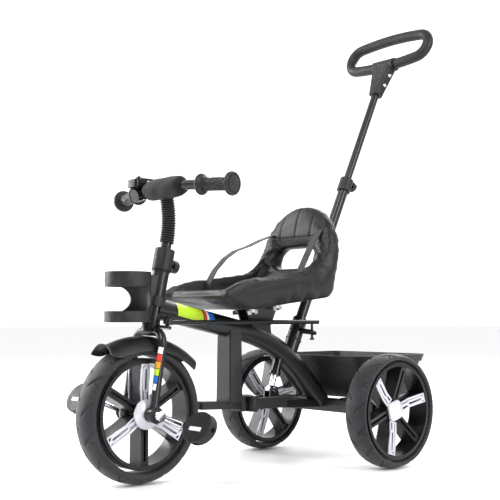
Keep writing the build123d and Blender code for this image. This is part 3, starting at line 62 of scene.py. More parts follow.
FRONT_AXLE = Vector(joint["front_wheel_spin"]["pos_m"])
STEER = Vector(joint["steering"]["axis"])
CROWN = Vector(joint["steering"]["pos_m"])
STEER_BACK = Vector((0, STEER.z, -STEER.y))
POLE = Vector(joint["pole_turn"]["axis"])
POLE_FOOT = Vector(joint["pole_turn"]["pos_m"])
REAR_AXLES = {side: Vector(joint[f"{side}_rear_wheel_spin"]["pos_m"]) for side in ("left", "right")}
FRONT_TYRE_R = (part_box("front_tyre")[1].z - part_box("front_tyre")[0].z) / 2
REAR_TYRE_R = (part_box("left_rear_tyre")[1].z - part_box("left_rear_tyre")[0].z) / 2
REAR_AXLE_Y = REAR_AXLES["left"].y
BAR = middle("foam_pad")
SEAT_FORWARD = Vector(joint["seat_adjust"]["axis"])
SEAT_UP = Vector((0, SEAT_FORWARD.z, -SEAT_FORWARD.y))
SEAT_ORIGIN = Vector((0, REAR_AXLE_Y - 0.190, 0.321))


# ---------------------------------------------------------------- materials
def make_material(name, color, roughness, metallic=0.0, grain=0.0, grain_size=900.0, grain_kind="noise",
                  mottle=0.12, mottle_size=14.0, coat=0.0, sheen=0.0, specular=0.3, wear=0.0):
    """A surface with colour mottling, uneven gloss, a fine grain in the bump and lighter worn patches."""
    mat = bpy.data.materials.new(name)
    mat.use_nodes = True
    nodes, links = mat.node_tree.nodes, mat.node_tree.links
    shader = nodes["Principled BSDF"]
    place = nodes.new("ShaderNodeTexCoord").outputs["Object"]

    def noise(scale, detail=3.0):
        tex = nodes.new("ShaderNodeTexNoise")
        tex.inputs["Scale"].default_value = scale
        tex.inputs["Detail"].default_value = detail
        links.new(place, tex.inputs["Vector"])
        return tex.outputs["Fac"]

    def spread(value, low, high):
        step = nodes.new("ShaderNodeMapRange")
        step.inputs["From Min"].default_value = 0.3
        step.inputs["From Max"].default_value = 0.7
        step.inputs["To Min"].default_value = low
        step.inputs["To Max"].default_value = high
        links.new(value, step.inputs["Value"])
        return step.outputs["Result"]

    blotch = noise(mottle_size, 4.0)
    tint = nodes.new("ShaderNodeMix")
    tint.data_type = "RGBA"
    tint.inputs["A"].default_value = tuple(c * (1 - mottle) for c in color) + (1,)
    tint.inputs["B"].default_value = tuple(min(1, c * (1 + mottle)) for c in color) + (1,)
    links.new(spread(blotch, 0, 1), tint.inputs["Factor"])
    out = tint.outputs["Result"]
    if wear:
        edges = nodes.new("ShaderNodeNewGeometry").outputs["Pointiness"]
        worn = nodes.new("ShaderNodeMapRange")
        worn.inputs["From Min"].default_value = 0.52
        worn.inputs["From Max"].default_value = 0.62
        worn.inputs["To Max"].default_value = wear
        links.new(edges, worn.inputs["Value"])
        lift = nodes.new("ShaderNodeMix")
        lift.data_type = "RGBA"
        lift.inputs["B"].default_value = tuple(min(1, c * 2.2 + 0.03) for c in color) + (1,)
        links.new(worn.outputs["Result"], lift.inputs["Factor"])
        links.new(out, lift.inputs["A"])
        out = lift.outputs["Result"]
    links.new(out, shader.inputs["Base Color"])
    links.new(spread(noise(mottle_size * 3.1), roughness * 0.85, min(1, roughness * 1.15)),
              shader.inputs["Roughness"])
    shader.inputs["Metallic"].default_value = metallic
    shader.inputs["Specular IOR Level"].default_value = specular
    shader.inputs["Coat Weight"].default_value = coat
    shader.inputs["Coat Roughness"].default_value = 0.12
    shader.inputs["Sheen Weight"].default_value = sheen
    shader.inputs["Sheen Roughness"].default_value = 0.5
    if grain:
        if grain_kind == "cells":
            cells = nodes.new("ShaderNodeTexVoronoi")
            cells.inputs["Scale"].default_value = grain_size
            links.new(place, cells.inputs["Vector"])
            height = cells.outputs["Distance"]
        else:
            height = noise(grain_size, 2.0)
        bump = nodes.new("ShaderNodeBump")
        bump.inputs["Strength"].default_value = grain
        bump.inputs["Distance"].default_value = 0.0004
        links.new(height, bump.inputs["Height"])
        links.new(bump.outputs["Normal"], shader.inputs["Normal"])
    return mat


def make_webbing():
    """Nylon webbing: a fine over-and-under weave across and along the strap."""
    mat = make_material("webbing", (0.010, 0.010, 0.012), 0.6, mottle=0.2, sheen=0.15)
    nodes, links = mat.node_tree.nodes, mat.node_tree.links
    place = nodes.new("ShaderNodeTexCoord").outputs["Object"]
    heights = []
    for direction in ("X", "DIAGONAL"):
        wave = nodes.new("ShaderNodeTexWave")
        wave.bands_direction = direction
        wave.inputs["Scale"].default_value = 130.0
        links.new(place, wave.inputs["Vector"])
        heights.append(wave.outputs["Fac"])
    both = nodes.new("ShaderNodeMath")
    both.operation = "MULTIPLY"
    links.new(heights[0], both.inputs[0])
    links.new(heights[1], both.inputs[1])
    bump = nodes.new("ShaderNodeBump")
    bump.inputs["Strength"].default_value = 0.6
    bump.inputs["Distance"].default_value = 0.0004
    links.new(both.outputs[0], bump.inputs["Height"])
    links.new(bump.outputs["Normal"], nodes["Principled BSDF"].inputs["Normal"])
    return mat


PAINT_BLACK = (0.0065, 0.0065, 0.0075)
materials = {
    "frame_black": make_material("frame_black", PAINT_BLACK, 0.34, grain=0.12, grain_size=1400,
                                 wear=0.25, coat=0.15),
    "black_plastic": make_material("black_plastic", (0.0085, 0.0087, 0.0095), 0.42, grain=0.3,
                                   grain_size=2600, grain_kind="cells", wear=0.35),
    "pedal_plastic": make_material("pedal_plastic", (0.012, 0.0122, 0.013), 0.5, grain=0.35, grain_size=2200,
                                   grain_kind="cells", wear=0.5),
    "wheel_plastic": make_material("wheel_plastic", (0.0055, 0.0055, 0.0065), 0.3, grain=0.1,
                                   grain_size=1800, wear=0.2),
    "spoke_cover": make_material("spoke_cover", (0.55, 0.55, 0.60), 0.3, metallic=0.1, specular=0.5,
                                 grain=0.05, grain_size=2400, mottle=0.03, coat=0.3),
    "cover_slot": make_material("cover_slot", (0.20, 0.20, 0.23), 0.4, metallic=0.2, grain=0.1, mottle=0.05),
    "tyre_foam": make_material("tyre_foam", (0.0150, 0.0140, 0.0170), 0.55, grain=0.5,
                               grain_size=3200, mottle=0.18, mottle_size=22, sheen=0.1),
    "grip_rubber": make_material("grip_rubber", (0.010, 0.010, 0.011), 0.48, grain=0.3,
                                 grain_size=2400, wear=0.3),
    "bar_foam": make_material("bar_foam", (0.009, 0.009, 0.010), 0.8, grain=0.8, grain_size=1700, sheen=0.1,
                              specular=0.2),
    "seat_cover": make_material("seat_cover", (0.0075, 0.0078, 0.009), 0.40, grain=0.55, grain_size=620,
                                grain_kind="cells", mottle=0.15, specular=0.26, wear=0.4),
    "webbing": make_webbing(),
    "buckle_plastic": make_material("buckle_plastic", (0.007, 0.007, 0.008), 0.3, grain=0.15,
                                    wear=0.3, specular=0.4),
    "chrome_steel": make_material("chrome_steel", (0.80, 0.80, 0.82), 0.12, metallic=1.0, mottle=0.05),
    "zinc_steel": make_material("zinc_steel", (0.60, 0.60, 0.58), 0.3, metallic=1.0, grain=0.15, mottle=0.1),
    "shock_black": make_material("shock_black", (0.006, 0.006, 0.007), 0.18, coat=0.3, grain=0.05),
    "shock_steel": make_material("shock_steel", (0.72, 0.72, 0.74), 0.16, metallic=1.0, mottle=0.05),
    "bell_plastic": make_material("bell_plastic", (0.006, 0.006, 0.007), 0.25, grain=0.08,
                                  wear=0.3, coat=0.2),
    "thread": make_material("thread", (0.040, 0.041, 0.045), 0.6, grain=0.4, grain_size=3000),
    "decal_green": make_material("decal_green", (0.42, 0.62, 0.03), 0.35, grain=0.05, mottle=0.05),
    "decal_blue": make_material("decal_blue", (0.02, 0.13, 0.50), 0.35, grain=0.05, mottle=0.05),
    "decal_red": make_material("decal_red", (0.62, 0.05, 0.03), 0.35, grain=0.05, mottle=0.05),
    "decal_white": make_material("decal_white", (0.75, 0.75, 0.76), 0.35, grain=0.05, mottle=0.04),
    "decal_orange": make_material("decal_orange", (0.75, 0.30, 0.03), 0.35, grain=0.05, mottle=0.05),
    "reflector": make_material("reflector", (0.85, 0.85, 0.86), 0.1, grain=0.8, grain_size=700,
                               grain_kind="cells", mottle=0.03, coat=0.6),
}


# ---------------------------------------------------------------- mesh helpers
def finish_mesh(name, bm, material, sharp=35.0):
    """Closes up a bmesh into a shaded object in the scene."""
    bmesh.ops.remove_doubles(bm, verts=bm.verts, dist=1e-6)
    bmesh.ops.recalc_face_normals(bm, faces=bm.faces)
    mesh = bpy.data.meshes.new(name)
    bm.to_mesh(mesh)
    bm.free()
    for poly in mesh.polygons:
        poly.use_smooth = True
    mesh.set_sharp_from_angle(angle=radians(sharp))
    piece = bpy.data.objects.new(name, mesh)
    bpy.context.collection.objects.link(piece)
    mesh.materials.append(materials[material])
    return piece


def apply_modifiers(piece):
    """Replaces a piece's mesh by its modified one."""
    bpy.context.view_layer.update()
    result = bpy.data.meshes.new_from_object(piece.evaluated_get(bpy.context.evaluated_depsgraph_get()))
    piece.modifiers.clear()
    piece.data = result


def place(piece, node=None, body=None, replaced=(), slot=None):
    """Rides a piece on its body and hides the CAD nodes that it stands for."""
    if replaced:
        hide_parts(*replaced)
    first = node or (replaced[0] if replaced else None)
    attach(piece, body or body_of_node[first])
    return piece


def softened(node, width=0.0007, angle=32.0, segments=2, material=None):
    """A copy of a CAD node with small rounded edges, as a moulded or machined piece has."""
    bm = bmesh.new()
    bm.from_mesh(frame["nodes"][node].data)
    bmesh.ops.remove_doubles(bm, verts=bm.verts, dist=2e-6)
    bmesh.ops.dissolve_limit(bm, angle_limit=radians(0.6), verts=bm.verts, edges=bm.edges)
    piece = finish_mesh(node + "_shell", bm, material or slot_of_node[node])
    edge = piece.modifiers.new("edge", "BEVEL")
    edge.width = width
    edge.segments = segments
    edge.limit_method = "ANGLE"
    edge.angle_limit = radians(angle)
    edge.harden_normals = True
    apply_modifiers(piece)
    return place(piece, replaced=(node,))


def ring_points(centre, across, up, radius, sides, shape=None):
    """Points round a closed section. shape gives the radius factor at each angle."""
    points = []
    for i in range(sides):
        turn = 2 * pi * i / sides
        r = radius * (shape(turn) if shape else 1)
        points.append(centre + across * (r * cos(turn)) + up * (r * sin(turn)))
    return points


def skin(name, rings, material, closed=False, sharp=35.0, cap=True):
    """A skin over rings of points, capped at its ends or closed on itself."""
    bm = bmesh.new()
    rows = [[bm.verts.new(p) for p in ring] for ring in rings]
    sides = len(rows[0])
    spans = list(zip(rows, rows[1:] + rows[:1])) if closed else list(zip(rows, rows[1:]))
    for low, high in spans:
        for i in range(sides):
            j = (i + 1) % sides
            bm.faces.new((low[i], low[j], high[j], high[i]))
    if cap and not closed:
        bm.faces.new(rows[0])
        bm.faces.new(rows[-1])
    return finish_mesh(name, bm, material, sharp)


def lathe(name, origin, axis, profile, material, sides=64, sharp=35.0):
    """Turns a profile of (along, radius) points round an axis; its ends close at the axis or as flat caps."""
    axis = Vector(axis).normalized()
    across = axis.orthogonal().normalized()
    up = axis.cross(across)
    rings = [ring_points(origin + axis * along, across, up, max(radius, 1e-5), sides)
             for along, radius in profile]
    return skin(name, rings, material, sharp=sharp)


def ease(value, low=0.0, high=1.0):
    """A smooth step from 0 to 1 between two values."""
    t = min(1.0, max(0.0, (value - low) / (high - low)))
    return t * t * (3 - 2 * t)


# ---------------------------------------------------------------- camera, light and floor
TARGET = Vector((0, -0.0369, 0.4313))
AZIMUTH, ELEVATION, DISTANCE = radians(47.96), radians(-4.27), 1.8513
back = Vector((sin(AZIMUTH) * cos(ELEVATION), -cos(AZIMUTH) * cos(ELEVATION), sin(ELEVATION)))
camera_data = bpy.data.cameras.new("camera")
camera_data.lens = 66.33
camera_data.sensor_width = 36
camera = bpy.data.objects.new("camera", camera_data)
camera.location = TARGET + back * DISTANCE
camera.rotation_euler = back.to_track_quat("Z", "Y").to_euler()
bpy.context.collection.objects.link(camera)
bpy.context.scene.camera = camera
bpy.context.scene.view_settings.view_transform = "Standard"

floor_mesh = bpy.data.meshes.new("floor")
FLOOR = 30.0
floor_mesh.from_pydata([(-FLOOR, -FLOOR, 0), (FLOOR, -FLOOR, 0), (FLOOR, FLOOR, 0), (-FLOOR, FLOOR, 0)], [],
                       [(0, 1, 2, 3)])
floor = bpy.data.objects.new("floor", floor_mesh)
bpy.context.collection.objects.link(floor)
pale = bpy.data.materials.new("pale_floor")
pale.use_nodes = True
pale.node_tree.nodes["Principled BSDF"].inputs["Base Color"].default_value = (0.96, 0.96, 0.965, 1)
pale.node_tree.nodes["Principled BSDF"].inputs["Roughness"].default_value = 0.4
floor_mesh.materials.append(pale)

world = bpy.data.worlds.new("studio")
bpy.context.scene.world = world
world.use_nodes = True
# a bright backdrop on the far side of the room that falls to a dimmer room on the near side
sky_nodes, sky_links = world.node_tree.nodes, world.node_tree.links
facing = sky_nodes.new("ShaderNodeVectorMath")
facing.operation = "DOT_PRODUCT"
facing.inputs[1].default_value = (-sin(AZIMUTH), cos(AZIMUTH), 0)
sky_links.new(sky_nodes.new("ShaderNodeTexCoord").outputs["Generated"], facing.inputs[0])
falloff = sky_nodes.new("ShaderNodeMapRange")
falloff.interpolation_type = "SMOOTHSTEP"
falloff.inputs["From Min"].default_value = -0.5
falloff.inputs["From Max"].default_value = 0.6
falloff.inputs["To Min"].default_value = 0.27
falloff.inputs["To Max"].default_value = 1.4
sky_links.new(facing.outputs["Value"], falloff.inputs["Value"])
sky_links.new(falloff.outputs["Result"], sky_nodes["Background"].inputs["Strength"])
sky_nodes["Background"].inputs["Color"].default_value = (1.0, 1.0, 1.0, 1)


def soft_light(name, location, size, power, aim=(0, 0, 0.4)):
    data = bpy.data.lights.new(name, "AREA")
    data.shape = "RECTANGLE"
    data.size, data.size_y = size
    data.energy = power
    lamp = bpy.data.objects.new(name, data)
    lamp.location = location
    lamp.rotation_euler = (Vector(location) - Vector(aim)).to_track_quat("Z", "Y").to_euler()
    bpy.context.collection.objects.link(lamp)


soft_light("key", (0.6, -2.2, 2.6), (1.6, 1.6), 80)
soft_light("left_strip", (-2.4, -1.2, 1.3), (0.8, 2.2), 80)
soft_light("right_strip", (2.6, 0.4, 1.5), (0.8, 2.2), 70)
soft_light("back", (-0.6, 2.6, 2.2), (1.8, 1.2), 50)


# ---------------------------------------------------------------- carried-over CAD nodes with rounded edges
for node in ("main_tube", "head_tube", "low_rail", "centre_post", "rear_axle_beam", "pole_socket",
             "seat_bracket", "front_fork", "handlebar_stem", "pole_lever", "link_rod", "handlebar",
             "lower_pole", "upper_pole"):
    softened(node, 0.0009)
for node in ("cup_holder", "basket", "stem_collar", "stem_knob", "pole_collar", "pole_knob",
             "footrest_block", "left_footrest", "right_footrest", "handle_bracket", "seat_board",
             "fork_bushes", "headset_bushes", "rear_bushes"):
    softened(node, 0.0007)
for node in ("front_rim", "left_rear_rim", "right_rear_rim"):
    softened(node, 0.0012)
for node in ("shock_body", "shock_rod", "shock_bolts", "seat_wing_nuts", "footrest_pins", "crankset",
             "rear_axle", "bell_body", "bell_lever", "left_pedal", "right_pedal", "push_handle"):
    softened(node, 0.0006)
for node in ("front_hub_caps", "left_rear_hub_cap", "right_rear_hub_cap"):
    softened(node, 0.0008, material="spoke_cover")


# ---------------------------------------------------------------- wheels
RIM_R = {"front_tyre": 0.099, "left_rear_tyre": 0.096, "right_rear_tyre": 0.096}
TREAD_MARGIN = 0.0006       # the visual tyre stays inside the CAD tyre by this
TREAD_REPEATS = 15
TREAD_DEPTH = 0.0022
SHOULDER_CUT_DEPTH = 0.0016
MOULD_LINE_DEPTH = 0.0006
TYRE_WRAP = radians(118)    # how far the section turns from the crown to the bead


def make_tyre(side_name, centre, wheel_r, node):
    """A foam tyre with a round crown, sidewalls that turn in to the rim, and curved tread grooves."""
    half = (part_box(node)[1].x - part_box(node)[0].x) / 2 - TREAD_MARGIN
    around, across = 720, 56
    section = []
    for i in range(across + 1):
        t = -1 + 2 * i / across
        turn = t * TYRE_WRAP
        r = wheel_r - (wheel_r - RIM_R[node]) * 0.52 * (1 - cos(turn)) - TREAD_MARGIN
        section.append((t, half * sin(turn) * (0.985 if abs(t) > 0.75 else 1), r))
    rings = []
    for j in range(around):
        angle = 2 * pi * j / around
        ring = []
        for t, x, r in section:
            dig = 0.0
            reach = abs(t)
            if 0.06 < reach < 0.72:
                # swooping grooves that leave the crown and sweep down the shoulder
                bend = 0.55 * (reach - 0.06) ** 0.7
                side_shift = 0.5 if t > 0 else 0.0
                phase = (angle * TREAD_REPEATS / (2 * pi) + bend * 1.5 + side_shift) % 1.0
                gap = min(phase, 1 - phase)
                width = 0.045 + 0.03 * sin(pi * (reach - 0.06) / 0.66)
                fade = ease(reach, 0.06, 0.14) * (1 - ease(reach, 0.6, 0.72))
                dig = TREAD_DEPTH * ease(width - gap, 0, 0.02) * fade
                second = (angle * TREAD_REPEATS / (2 * pi) - bend * 0.9 + side_shift + 0.42) % 1.0
                gap = min(second, 1 - second)
                if reach > 0.3:
                    fade = ease(reach, 0.3, 0.38) * (1 - ease(reach, 0.55, 0.66))
                    dig = max(dig, SHOULDER_CUT_DEPTH * ease(0.035 - gap, 0, 0.02) * fade)
            dig += MOULD_LINE_DEPTH * ease(0.018 - abs(reach - 0.80), 0, 0.012)
            ring.append(centre + Vector((x, 0, 0)) + Vector((0, cos(angle), sin(angle))) * (r - dig))
        rings.append(ring)
    bm = bmesh.new()
    rows = [[bm.verts.new(p) for p in ring] for ring in rings]
    for low, high in zip(rows, rows[1:] + rows[:1]):
        for i in range(across):
            bm.faces.new((low[i], low[i + 1], high[i + 1], high[i]))
        bm.faces.new((low[across], low[0], high[0], high[across]))
    piece = finish_mesh(side_name + "_tread_tyre", bm, "tyre_foam", sharp=60)
    place(piece, replaced=(node,))
    return piece


make_tyre("front", FRONT_AXLE, FRONT_TYRE_R, "front_tyre")
for side in ("left", "right"):
    make_tyre(side + "_rear", REAR_AXLES[side], REAR_TYRE_R, side + "_rear_tyre")


COVER_FRAME = 0.0034
PANEL_DEPTH = 0.0011


def make_covers(node, centre):
    """Spoke covers with a grey panel let into each outer face, framed by the pale edge."""
    bm = bmesh.new()
    bm.from_mesh(frame["nodes"][node].data)
    bmesh.ops.remove_doubles(bm, verts=bm.verts, dist=2e-6)
    bmesh.ops.dissolve_limit(bm, angle_limit=radians(3), verts=bm.verts, edges=bm.edges)
    outer = []
    for face in bm.faces:
        outward = 1 if face.calc_center_median().x > centre.x else -1
        if face.normal.x * outward > 0.85 and face.calc_area() > 2.5e-4:
            outer.append((face, outward))
    for face, outward in outer:
        if not face.is_valid:
            continue
        for width, depth in ((COVER_FRAME, 0.0), (0.0007, PANEL_DEPTH)):
            bmesh.ops.inset_region(bm, faces=[face], thickness=width, depth=0)
            for vert in face.verts:
                vert.co.x -= outward * depth
        face.material_index = 1
    mesh = bpy.data.meshes.new(node + "_panelled")
    bm.normal_update()
    bm.to_mesh(mesh)
    bm.free()
    piece = bpy.data.objects.new(node + "_panelled", mesh)
    bpy.context.collection.objects.link(piece)
    mesh.materials.append(materials["spoke_cover"])
    mesh.materials.append(materials["cover_slot"])
    edge = piece.modifiers.new("edge", "BEVEL")
    edge.width = 0.0006
    edge.segments = 2
    edge.limit_method = "ANGLE"
    edge.angle_limit = radians(35)
    apply_modifiers(piece)
    for poly in piece.data.polygons:
        poly.use_smooth = True
    piece.data.set_sharp_from_angle(angle=radians(35))
    place(piece, replaced=(node,))


make_covers("front_spoke_covers", FRONT_AXLE)
for side in ("left", "right"):
    make_covers(side + "_rear_spoke_covers", REAR_AXLES[side])


# ---------------------------------------------------------------- soft goods on the bar
def make_foam_pad():
    """The padded roll round the middle of the bar: faceted, tapered at its ends, with a closing seam."""
    half = 0.054
    rows = []
    steps = 44
    for i in range(steps + 1):
        t = -1 + 2 * i / steps
        taper = sqrt(max(0.0, 1 - abs(t) ** 5))
        swell = (0.0125 + 0.0072 * taper) if abs(t) < 1 else 0.0105

        def shape(turn, t=t):
            corner = 1 + 0.035 * cos(4 * turn + 0.5)
            seam = 1 - 0.05 * ease(0.10 - abs(((turn - 4.4 + pi) % (2 * pi)) - pi), 0, 0.08)
            return corner * seam * (1 + 0.01 * sin(9 * t + 3 * turn))

        rows.append(ring_points(BAR + Vector((half * t, 0, 0)), Vector((0, 1, 0)), Vector((0, 0, 1)),
                                swell, 56, shape))
    pad = skin("bar_foam_roll", rows, "bar_foam", sharp=50)
    place(pad, replaced=("foam_pad",))


make_foam_pad()


STEM_BEND_START = 0.165     # above the crown, where the stem starts to curve forward
STEM_BEND_R = 0.195
HEAD_ANGLE = radians(12.57)


def make_bellows():
    """The ribbed sleeve over the stem: rings of alternating width along the stem's curve."""
    stem_low = CROWN + STEER * STEM_BEND_START
    turn_total = 2 * HEAD_ANGLE
    rows = []
    ribs, per_rib = 19, 8
    count = ribs * per_rib
    for i in range(count + 1):
        along = i / count
        turn = turn_total * along
        # the arc bends forward from the steering axis
        start_dir, side_dir = STEER, -STEER_BACK
        point = stem_low + start_dir * (STEM_BEND_R * sin(turn)) + side_dir * (STEM_BEND_R * (1 - cos(turn)))
        ahead = start_dir * cos(turn) + side_dir * sin(turn)
        rib = (0.5 - 0.5 * cos(2 * pi * along * ribs)) ** 0.6
        radius = 0.0112 + 0.0026 * rib
        rows.append(ring_points(point, Vector((1, 0, 0)), ahead.cross(Vector((1, 0, 0))), radius, 48))
    bellows = skin("ribbed_bellows", rows, "grip_rubber", sharp=70)
    place(bellows, replaced=("stem_bellows",))


make_bellows()


BAR_FLAT_HALF = 0.060       # straight middle of the bar, before it sweeps back
BAR_HALF_LENGTH = 0.166
BAR_SWEEP_BACK = 0.021
BAR_DROP = 0.007
GRIP_LENGTH = 0.072


def make_grip(side, node):
    """A rubber grip: an inner flange, a body with wavy flutes, and a round end guard with a raised rim."""
    sign = 1 if side == "left" else -1
    inner_end = BAR + Vector((sign * BAR_FLAT_HALF, 0, 0))
    outer_end = BAR + Vector((sign * BAR_HALF_LENGTH, BAR_SWEEP_BACK, -BAR_DROP))
    direction = (outer_end - inner_end).normalized()
    length = GRIP_LENGTH
    base = outer_end - direction * length
    across = direction.orthogonal().normalized()
    up = direction.cross(across)
    rows = []
    profile = [(0.0, 0.0093), (0.0002, 0.0175), (0.0012, 0.019), (0.0035, 0.0195), (0.0052, 0.019),
               (0.0064, 0.0165), (0.0078, 0.0135)]
    body = [(0.009 + i * (length - 0.014) / 40, 0.0121) for i in range(41)]
    end = [(length - 0.0042, 0.0135), (length - 0.0034, 0.0185), (length - 0.0024, 0.0208),
           (length + 0.0008, 0.0214), (length + 0.0034, 0.0208), (length + 0.0046, 0.0196),
           (length + 0.0046, 0.0172), (length + 0.0036, 0.0164), (length + 0.0036, 0.0155),
           (length + 0.0052, 0.0146), (length + 0.0058, 0.010), (length + 0.0059, 0.0001)]
    for along, radius in profile + body + end:
        in_body = 0.009 < along < length - 0.006

        def shape(turn, along=along, in_body=in_body):
            if not in_body:
                return 1
            sway = 0.9 * sin(2 * pi * (along - 0.009) / 0.028)
            flute = (0.5 + 0.5 * cos(7 * turn + sway * 2.2)) ** 3
            fade = ease(along, 0.009, 0.014) * (1 - ease(along, length - 0.012, length - 0.006))
            return 1 - 0.085 * flute * fade

        rows.append(ring_points(base + direction * along, across, up, radius, 84, shape))
    grip = skin(side + "_rubber_grip", rows, "grip_rubber", sharp=50)
    place(grip, replaced=(node,))


make_grip("left", "left_grip")
make_grip("right", "right_grip")


# ---------------------------------------------------------------- seat
def seat_point(x, back_along, up_along):
    """A point given across, along and above the seat's base, in metres."""
    return SEAT_ORIGIN + Vector((x, 0, 0)) - SEAT_FORWARD * back_along + SEAT_UP * up_along


def make_seat():
    """The padded bucket: the CAD solid remeshed, rounded, inflated as cloth and smoothed."""
    bm = bmesh.new()
    bm.from_mesh(frame["nodes"]["seat_pad"].data)
    bmesh.ops.remove_doubles(bm, verts=bm.verts, dist=2e-6)
    seat = finish_mesh("padded_bucket_seat", bm, "seat_cover")
    remesh = seat.modifiers.new("remesh", "REMESH")
    remesh.mode = "VOXEL"
    remesh.voxel_size = 0.005
    apply_modifiers(seat)
    round_off = seat.modifiers.new("round", "SMOOTH")
    round_off.factor = 0.6
    round_off.iterations = 14
    apply_modifiers(seat)
    rest = [v.co.copy() for v in seat.data.vertices]
    cloth = seat.modifiers.new("cloth", "CLOTH")
    cloth.settings.quality = 5
    cloth.settings.mass = 0.3
    cloth.settings.tension_stiffness = 15
    cloth.settings.compression_stiffness = 15
    cloth.settings.bending_stiffness = 0.5
    cloth.settings.use_pressure = True
    cloth.settings.uniform_pressure_force = 4
    cloth.settings.effector_weights.gravity = 0
    cloth.point_cache.frame_start = 1
    cloth.point_cache.frame_end = 20
    for step in range(1, 21):
        bpy.context.scene.frame_set(step)
    swollen = seat.evaluated_get(bpy.context.evaluated_depsgraph_get()).data
    moved = [v.co.copy() for v in swollen.vertices]
    seat.modifiers.clear()
    bpy.context.scene.frame_set(1)
    cap = 0.007
    for vertex, start, end in zip(seat.data.vertices, rest, moved):
        shift = end - start
        if shift.length > cap:
            shift *= cap / shift.length
        if (start - SEAT_ORIGIN).dot(SEAT_UP) < 0.055:
            # the underside stays up, clear of the main tube when the seat slides
            shift += SEAT_UP * (0.0012 - min(0.0, shift.dot(SEAT_UP)))
        vertex.co = start + shift
    seat.data.materials.clear()
    seat.data.materials.append(materials["seat_cover"])
    fine = seat.modifiers.new("fine", "SUBSURF")
    fine.levels = 1
    fine.render_levels = 1
    apply_modifiers(seat)
    for poly in seat.data.polygons:
        poly.use_smooth = True
    place(seat, replaced=("seat_pad",))
    return seat


seat_pad = make_seat()



def stitched_seam(name, seat, route, toward, thread_gap=0.0052):
    """Presses a groove into the seat along a route and lays a row of stitches beside it."""
    mesh = seat.data
    tree = BVHTree.FromPolygons([v.co for v in mesh.vertices], [p.vertices for p in mesh.polygons])
    toward = Vector(toward).normalized()
    dense = []
    for start, end in zip(route, route[1:]):
        count = max(2, int((end - start).length / 0.0012))
        dense += [start.lerp(end, i / count) for i in range(count)]
    line = []
    for point in dense:
        hit, normal, _, _ = tree.ray_cast(point - toward * 0.25, toward)
        if hit is not None:
            line.append((hit, normal if normal.dot(toward) < 0 else -normal))
    if len(line) < 4:
        return
    bm = bmesh.new()
    travelled, last = 0.0, line[0][0]
    for (spot, normal), (ahead, _) in zip(line, line[1:]):
        travelled += (spot - last).length
        last = spot
        if travelled % thread_gap < thread_gap * 0.55 and (ahead - spot).length > 1e-6:
            way = (ahead - spot).normalized()
            side_way = way.cross(normal).normalized()
            for side_shift in (-0.0021, 0.0021):
                base = spot + side_way * side_shift + normal * 0.00025
                ring = [base + side_way * 0.0005, base + normal * 0.0005, base - side_way * 0.0005]
                tip = [p + way * 0.0014 for p in ring]
                low = [bm.verts.new(p) for p in ring]
                high = [bm.verts.new(p) for p in tip]
                for i in range(3):
                    j = (i + 1) % 3
                    bm.faces.new((low[i], low[j], high[j], high[i]))
                bm.faces.new(low)
                bm.faces.new(high)
    from_line = BVHTree.FromPolygons([p for (p, _) in line for _ in (0, 1, 2)],
                                     [(3 * i, 3 * i + 1, 3 * (i + 1)) for i in range(len(line) - 1)])
    for vertex in mesh.vertices:
        near, _, _, distance = from_line.find_nearest(vertex.co, 0.006)
        if near is not None:
            press = 0.0014 * (1 - ease(distance, 0.0, 0.0032))
            vertex.co += toward * press
    if bm.faces:
        piece = finish_mesh(name, bm, "thread", sharp=60)
        place(piece, body=body_of_node["seat_pad"], slot=slot_of_node["seat_pad"])
    else:
        bm.free()


for index, x in enumerate((-0.044, 0.0, 0.044)):
    path = [seat_point(x, 0.140, h) for h in (0.128, 0.150, 0.172, 0.190)]
    stitched_seam("headrest_seam_%d" % index, seat_pad, path, -SEAT_FORWARD)
path = [seat_point(x, 0.140, 0.127) for x in (-0.078, -0.03, 0.03, 0.078)]
stitched_seam("headrest_cross_seam", seat_pad, path, -SEAT_FORWARD)
BOLSTER_LINE = ((-0.120, 0.040), (-0.060, 0.046), (0.0, 0.050), (0.060, 0.054), (0.110, 0.076),
                (0.140, 0.112), (0.160, 0.160))
for side, sign in (("left", 1), ("right", -1)):
    path = [seat_point(sign * 0.2, b, h) for b, h in BOLSTER_LINE]
    stitched_seam(side + "_bolster_seam", seat_pad, path, (-sign, 0, 0))
    path = [seat_point(sign * 0.060, b, 0.15) for b in (-0.120, -0.060, 0.0, 0.050)]
    stitched_seam(side + "_pan_seam", seat_pad, path, -SEAT_UP)

for node in ("harness_straps", "harness_buckle"):
    softened(node, 0.0003)

FENDER_R = 0.176            # inside radius of the mudguard's arc
FENDER_CENTRE_DROP = 0.040  # its centre below the front axle


def make_fender():
    """The mudguard with its front lip flared up and its skirt deepest beside the fork leg."""
    centre = FRONT_AXLE - Vector((0, 0, FENDER_CENTRE_DROP))
    lip_zone = (radians(30), radians(78))
    bm = bmesh.new()
    bm.from_mesh(frame["nodes"]["front_fender"].data)
    bmesh.ops.remove_doubles(bm, verts=bm.verts, dist=2e-6)
    for vert in bm.verts:
        spot = vert.co - centre
        angle = atan2(spot.z, -spot.y)
        r = sqrt(spot.y ** 2 + spot.z ** 2)
        front = 1 - ease(angle, *lip_zone)
        if r < FENDER_R:
            r = FENDER_R - (FENDER_R - r) * (1 - 0.62 * front)
        angle += radians(13) * front ** 1.4
        r += 0.014 * front ** 3
        vert.co = centre + Vector((spot.x, -cos(angle) * r, sin(angle) * r))
    fender = finish_mesh("flared_mudguard", bm, "black_plastic", sharp=40)
    place(fender, replaced=("front_fender",))


make_fender()


# ---------------------------------------------------------------- small parts laid on the CAD surfaces
trees = {}


def surface(node):
    """The node's surface, for laying small pieces on it."""
    if node not in trees:
        mesh = frame["nodes"][node].data
        trees[node] = BVHTree.FromPolygons([v.co for v in mesh.vertices], [p.vertices for p in mesh.polygons])
    return trees[node]


